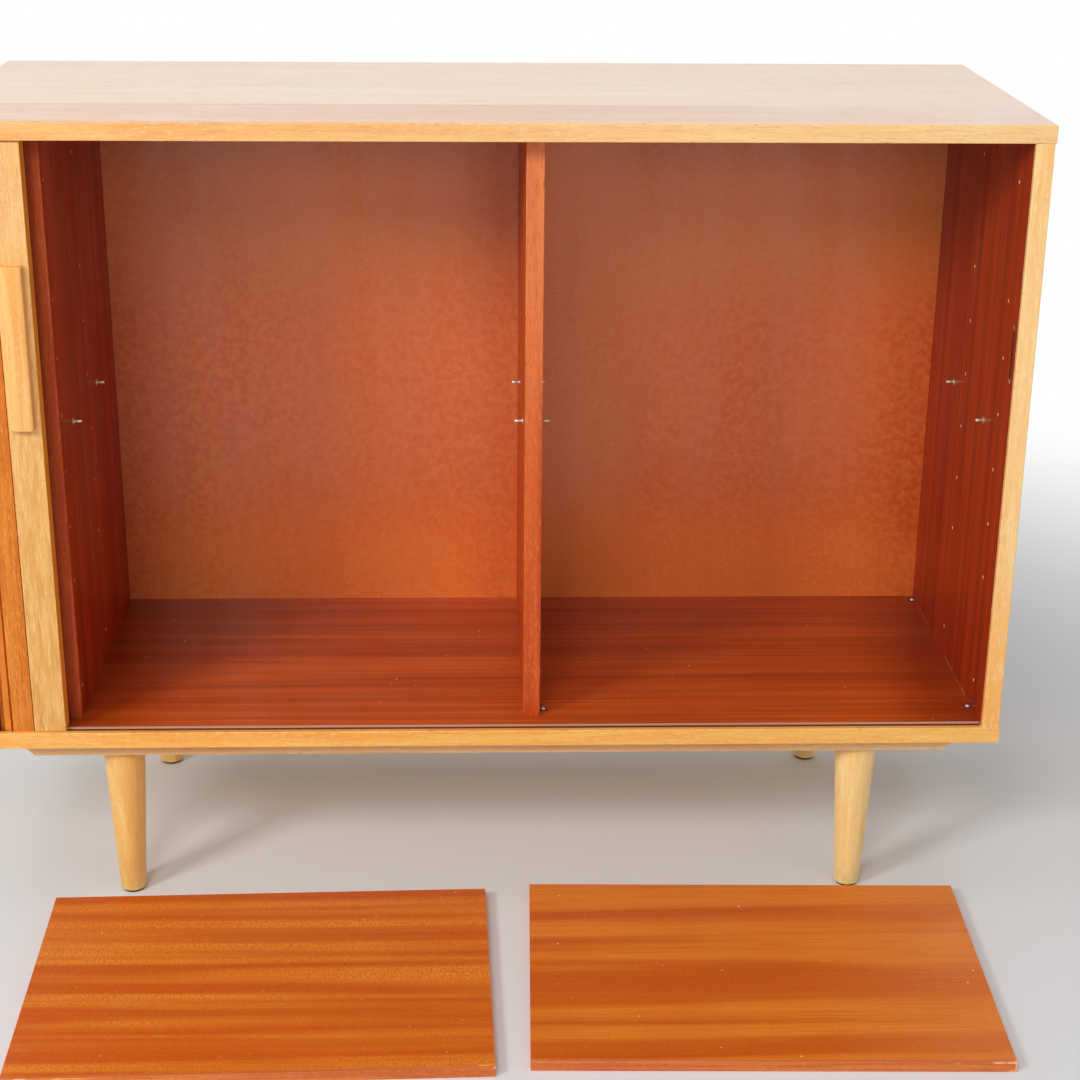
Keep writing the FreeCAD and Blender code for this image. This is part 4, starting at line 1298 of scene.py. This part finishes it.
@dataclass
class Curtain:
    """The run of slats that shows at the front.

    Three slats stay by the left side. The rest is folded up inside the stile while the door is open,
    which stands for the slats that come round the corner on the real cabinet.
    """

    pitch: float = 8.0 * MILLIMETRE
    joint: float = 0.03 * MILLIMETRE
    ease: float = 0.12 * MILLIMETRE
    floor_gap: float = 0.8 * MILLIMETRE
    ceiling_gap: float = 2.5 * MILLIMETRE
    tongue: float = 5.4 * MILLIMETRE
    inset: float = 0.06 * MILLIMETRE
    stile_skin: float = 0.15 * MILLIMETRE
    canvas: float = 0.5 * MILLIMETRE
    fixed_slats: int = 3
    halvings: int = 40

    def build(self) -> None:
        """Make the slats and the canvas behind them."""
        low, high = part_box("tambour_slats_front")
        stile_low, stile_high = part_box("tambour_lead_stile")
        door = next(joint for joint in frame["joints"] if joint["name"] == "door_slide")
        travel = door["range_m"][1]
        start = stile_low.x + self.stile_skin
        room = stile_high.x - 3 * self.stile_skin - start
        count = math.floor((travel + room) / self.pitch)
        length = count * self.pitch - travel
        floor, ceiling = (corner.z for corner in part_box("left_side_panel"))
        ends = (low.z + self.inset, high.z - self.inset)
        heights = (ends[0], floor + self.floor_gap, ceiling - self.ceiling_gap, ends[1])
        depths = (low.y + self.inset, high.y - self.inset)
        maker = Maker()
        for number in range(self.fixed_slats):
            right = high.x - number * self.pitch
            self.slat(maker, right - self.pitch + self.joint, right, depths, heights)
        for number in range(count):
            left = start + number * self.pitch
            self.slat(maker, left + self.joint / 2, left + self.pitch - self.joint / 2, depths, heights)
        for vert in maker.mesh.verts:
            if vert.co.x > start:
                vert.co.x = self.folded(vert.co.x - start, length, travel) + start
        curtain = maker.done("tambour_slats_run", TEAK, 163.0, ["tambour_slats_front"], None)
        start + length
        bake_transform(curtain)
        self.build_canvas(start, length, depths[1], heights)

    def slat(
        self, maker: Maker, left: float, right: float, depths: Pair, heights: Sequence[float]
    ) -> None:
        """Add one slat with eased front edges and a tongue at each end.

        Args:
            maker: The piece that takes it.
            left: Left side.
            right: Right side.
            depths: Outer and inner face.
            heights: Ends of the low tongue, the body and the high tongue.
        """
        outer, inner = depths
        ease = self.ease
        mid = ease * ROUND_MIDDLE
        plan = (
            (left, inner), (left, outer + ease), (left + mid, outer + mid), (left + ease, outer),
            (right - ease, outer), (right - mid, outer + mid), (right, outer + ease), (right, inner),
        )
        low, body_low, body_high, high = heights
        maker.prism(plan, body_low, body_high)
        back = outer + self.tongue
        stub = ((left, back), (left, outer), (right, outer), (right, back))
        maker.prism(stub, low, body_low)
        maker.prism(stub, body_high, high)

    def folded(self, spread: float, length: float, travel: float) -> float:
        """Where a point lies at rest that the closed door draws out to a distance.

        Args:
            spread: Distance from the fold's start with the door closed.
            length: Length of the folded run.
            travel: Travel of the door.

        Returns:
            Distance from the fold's start with the door open.
        """
        low, high = 0.0, 1.0
        for _ in range(self.halvings):
            middle = (low + high) / 2
            if length * middle + travel * middle * middle * (3 - 2 * middle) < spread:
                low = middle
            else:
                high = middle
        return length * low

    def build_canvas(self, start: float, length: float, face: float, heights: Sequence[float]) -> None:
        """The cloth behind the folded run.

        Args:
            start: Left end of the fold.
            length: Length of the folded run.
            face: Inner face of the slats.
            heights: Ends of the low tongue, the body and the high tongue.
        """
        maker = Maker()
        end = start + length
        near = face + self.inset
        far = near + self.canvas
        plan = ((start, far), (start, near), (end, near), (end, far))
        maker.prism(plan, heights[1] + self.pitch, heights[2] - self.pitch)
        run = maker.done("tambour_canvas_run", CANVAS, 167.0, [], None)
        start + length
        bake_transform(run)


@dataclass
class Door:
    """Leading stile, handle, catch, keeper plate and the hidden part of the curtain."""

    crown: float = 0.7 * MILLIMETRE
    corner: float = 2.6 * MILLIMETRE
    end_round: float = 1.6 * MILLIMETRE
    stile_arris: float = 0.6 * MILLIMETRE
    edge_span: Pair = (0.8 * MILLIMETRE, 0.4 * MILLIMETRE)
    keeper_screw: Screw = Screw(length=12.0 * MILLIMETRE)

    def build(self) -> None:
        """Dress and build everything that belongs to the door."""
        self.dress_stile()
        self.build_handle()
        for node, finish, seed in (
            ("handle_screws", ZINC, 179.0), ("catch_screws", ZINC, 181.0),
            ("catch_housing", CATCH_PLASTIC, 187.0), ("catch_magnet", FERRITE, 191.0),
            ("keeper_plate", KEEPER_STEEL, 229.0), ("tambour_canvas", CANVAS, 193.0),
            ("tambour_slats_front_turn", TEAK, 197.0), ("tambour_slats_side", TEAK, 199.0),
            ("tambour_slats_rear_turn", TEAK, 211.0), ("tambour_slats_back", TEAK, 223.0),
        ):
            finish.dress(node, seed)
        self.keeper_screw.stand_in("keeper_screws", -RIGHT, (20.0, 70.0), PIN_STEEL, 233.0)

    def dress_stile(self) -> None:
        """Pale oak in front, and on the edge by the side board a golden copy with painted bounce light."""
        node = "tambour_lead_stile"
        low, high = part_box(node)
        graph = Graph("oak_stile", (low, high))
        mask = graph.at(Axis.X).step(*(high.x - gap for gap in self.edge_span))
        faces = OAK_STILE.surface(graph, 173.0).under(mask, OAK_STILE_EDGE_PAINTED_BOUNCE.surface(graph, 177.0))
        dress(node, graph.finish(OAK_STILE.worn(graph, faces, 173.0), OAK_STILE))
        soften(node, self.stile_arris)

    def build_handle(self) -> None:
        """A crowned grip with rounded corners and softly rounded ends."""
        low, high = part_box("tambour_handle")
        middle = (low.x + high.x) / 2
        half = (high.x - low.x) / 2
        corner = self.corner
        crowned = [i / 8 for i in range(-8, 9)]
        front = [(share * (half - corner), self.crown * share * share) for share in crowned]
        arc = [math.radians(angle) for angle in (15, 35, 55, 75)]
        edge = self.crown + corner
        left = [(-(half - corner) - corner * math.cos(a), edge - corner * math.sin(a)) for a in arc]
        right = [(half - corner + corner * math.sin(a), edge - corner * math.cos(a)) for a in arc]
        depth = high.y - low.y
        plan = [(-half, depth), (-half, edge), *left, *front, *right, (half, edge), (half, depth)]
        steps = [math.radians(angle) for angle in (0, 22, 45, 68, 90)]
        ends = [(self.end_round * (1 - math.sin(a)), self.end_round * (1 - math.cos(a))) for a in steps]
        levels = [(low.z + rise, inset) for inset, rise in ends]
        levels += [(high.z - rise, inset) for inset, rise in reversed(ends)]
        maker = Maker()
        maker.loft([
            [Vector((middle + x * (half - inset) / half, low.y + min(y + inset, depth), z)) for x, y in plan]
            for z, inset in levels
        ])
        maker.done("tambour_handle_crowned", OAK_HANDLE, 227.0, ["tambour_handle"], "door")


@dataclass
class Shelves:
    """The two shelves that lie on the floor."""

    arris: float = 0.6 * MILLIMETRE

    def build(self) -> None:
        """Dress both shelves and their lippings."""
        for side, veneer, seed in (("left", SHELF_VENEER, 239.0), ("right", SHELF_PLAIN, 251.0)):
            veneer.dress(side + "_shelf", seed)
            SHELF_LIP.dress(side + "_shelf_lipping", seed + 5)
            soften(side + "_shelf_lipping", self.arris)


@dataclass
class Base:
    """Rails, turned legs, foot pads and their fixings."""

    rail_round: float = 0.8 * MILLIMETRE
    foot_round: float = 1.2 * MILLIMETRE
    top_round: float = 0.5 * MILLIMETRE
    pad_round: float = 0.6 * MILLIMETRE
    leg_segments: int = 96
    pad_segments: int = 48
    screw: Screw = Screw(
        shank=2.2 * MILLIMETRE, head=4.4 * MILLIMETRE, head_depth=2.4 * MILLIMETRE,
        length=32.0 * MILLIMETRE,
    )

    def build(self) -> None:
        """Build the rails, legs, pads and screws, and dress the bolts."""
        for number, side in enumerate(("front", "rear")):
            self.build_rail(side + "_base_rail", 257.0 + 6 * number)
        for number, corner in enumerate(("front_left", "front_right", "rear_left", "rear_right")):
            self.build_leg(corner + "_leg", 271.0 + 5 * number)
            self.build_pad(corner + "_foot_pad", 293.0 + 3 * number)
        ZINC.dress("leg_bolts", 307.0)
        self.screw.stand_in("base_rail_screws", -UP, (0.0, 41.0), ZINC, 311.0)

    def build_rail(self, node: str, seed: float) -> None:
        """A rail with slanted ends and softened edges.

        Args:
            node: The rail's node.
            seed: Shift that makes it unlike others.
        """
        low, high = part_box(node)
        slant = high.z - low.z
        shape = ((low.x + slant, low.z), (high.x - slant, low.z), (high.x, high.z), (low.x, high.z))
        maker = Maker()
        maker.loft([[Vector((x, y, z)) for x, z in shape] for y in (low.y, high.y)])
        edges = maker.mesh.edges[:]
        bmesh.ops.bevel(
            maker.mesh, geom=edges, offset=self.rail_round, segments=ROUND_STEPS, profile=0.5, affect="EDGES"
        )
        maker.done(node + "_softened", OAK_RAIL, seed, [node])

    def build_leg(self, node: str, seed: float) -> None:
        """A tapered leg, turned, with a small round at the foot.

        Args:
            node: The leg's node.
            seed: Shift that makes it unlike others.
        """
        low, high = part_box(node)
        top = (high.x - low.x) / 2
        height = high.z - low.z
        foot = top * LEG_TAPER
        ease = self.foot_round
        turns = (0.4, 0.8, 1.2, math.pi / 2)
        profile = [(foot - ease, 0.0)]
        profile += [(foot - ease * (1 - math.sin(a)), ease * (1 - math.cos(a))) for a in turns]
        profile += [(foot + (top - foot) * share, height * share) for share in (0.1, 0.3, 0.5, 0.7, 0.9)]
        ease = self.top_round
        profile += [(top - 0.6 * ease, height - 0.2 * ease), (top - ease, height)]
        maker = Maker()
        maker.lathe(profile, Matrix.Translation(face_middle((low, high), -UP)), self.leg_segments)
        wood = OAK_LEG_PALE if low.x + high.x > 0 else OAK_LEG
        maker.done(node + "_turned", wood, seed, [node])

    def build_pad(self, node: str, seed: float) -> None:
        """A hard rubber disc with rounded edges under a leg.

        Args:
            node: The pad's node.
            seed: Shift that makes it unlike others.
        """
        low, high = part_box(node)
        radius = (high.x - low.x) / 2
        height = high.z - low.z
        ease = self.pad_round
        mid = ease * ROUND_MIDDLE
        profile = (
            (radius - ease, 0.0), (radius - mid, mid), (radius, ease),
            (radius, height - ease / 2), (radius - ease / 2, height),
        )
        maker = Maker()
        maker.lathe(profile, Matrix.Translation(face_middle((low, high), -UP)), self.pad_segments)
        maker.done(node + "_moulded", RUBBER, seed, [node])


@dataclass(frozen=True)
class Lamp:
    """A square soft lamp: where it hangs, what it points at, the length of its sides and its watts."""

    name: str
    place: Triple
    aim: Triple
    size: float
    power: float

    def hang(self) -> None:
        """Put the lamp in the scene."""
        data = bpy.data.lights.new(self.name, "AREA")
        data.shape = "SQUARE"
        data.size = self.size
        data.energy = self.power
        lamp = stand(self.name, data)
        lamp.location = self.place
        lamp.rotation_mode = "QUATERNION"
        lamp.rotation_quaternion = (Vector(self.aim) - Vector(self.place)).to_track_quat("-Z", "Y")


@dataclass
class Studio:
    """Floor, world light, lamps and the camera."""

    camera_place: Triple = (-0.02220, -2.22723, 1.31002)
    camera_turn: Triple = (69.080, -0.495, -1.806)
    lens: float = 68.633
    sensor: float = 36.0
    floor_half: float = 14.0
    floor_pale: Tint = Tint(232, 233, 235)
    floor_deep: Tint = Tint(227, 228, 231)
    sky: float = 0.37
    fade: Pair = (0.95, 2.30)
    lamps: tuple[Lamp, ...] = (
        Lamp("key_lamp", (-2.8, -2.6, 2.5), (0.0, 0.1, 0.5), 0.9, 70.0),
        Lamp("front_lamp", (-0.9, -3.3, 2.8), (0.0, 0.2, 0.5), 1.2, 46.0),
        Lamp("fill_lamp", (2.6, -2.6, 1.6), (0.2, 0.0, 0.5), 2.0, 8.0),
        Lamp("overhead_lamp", (0.0, 0.4, 3.2), (0.0, 0.0, 0.5), 2.4, 18.5),
    )

    def build(self) -> None:
        """Make the floor, the light and the camera."""
        self.build_floor()
        self.build_world()
        for lamp in self.lamps:
            lamp.hang()
        self.build_camera()
        bpy.context.scene.view_settings.view_transform = "Standard"

    def build_floor(self) -> None:
        """A plain pale floor that goes over to white away from the object."""
        half = self.floor_half
        data = bpy.data.meshes.new("studio_floor")
        corners = [(-half, -half, 0), (half, -half, 0), (half, half, 0), (-half, half, 0)]
        data.from_pydata(corners, [], [(0, 1, 2, 3)])
        graph = Graph("studio_floor", None)
        haze = graph.noise(0.5, 331.0, detail=2.0).step(0.3, 0.7)
        colour = graph.blend(haze * 0.3, self.floor_pale, self.floor_deep)
        grain = graph.noise(0.002, 337.0, detail=2.0)
        data.materials.append(graph.finish(Surface(colour, FLOOR.roughness + 0.05 * haze, grain), FLOOR))
        away = graph.signal("VectorMath", {"operation": "LENGTH"}, {0: graph.place}, "Value")
        white = graph.node("Emission", {}, {"Color": (1, 1, 1, 1), "Strength": 1.0})
        shaders = {1: graph.shader.outputs["BSDF"], 2: white.outputs["Emission"]}
        mixed = graph.node("MixShader", {}, {0: graph.seen() * away.step(*self.fade), **shaders})
        graph.feed(graph.tree.nodes["Material Output"], {"Surface": mixed.outputs["Shader"]})
        stand("studio_floor", data)

    def build_world(self) -> None:
        """White to the camera and to reflections, and softer as light."""
        world = bpy.data.worlds.new("studio_world")
        bpy.context.scene.world = world
        world.use_nodes = True
        tree = Tree(world.node_tree)
        strength = tree.signal("MapRange", {}, {"Value": tree.seen(), "To Min": self.sky})
        tree.feed(tree.tree.nodes["Background"], {"Color": (1, 1, 1, 1), "Strength": strength})

    def build_camera(self) -> None:
        """The camera at the picture's place and angle."""
        data = bpy.data.cameras.new("picture_camera")
        data.sensor_width = self.sensor
        data.lens = self.lens
        camera = stand("picture_camera", data)
        camera.location = self.camera_place
        camera.rotation_euler = Euler([math.radians(angle) for angle in self.camera_turn])
        bpy.context.scene.camera = camera


def main() -> None:
    """Build the sub-assemblies in order."""
    logging.basicConfig(level=logging.INFO, format="%(name)s: %(message)s")
    for part in (Studio(), Carcass(), Interior(), Rear(), Curtain(), Door(), Shelves(), Base()):
        part.build()
        LOG.info("finished %s", type(part).__name__)


if __name__ == "__main__":
    main()
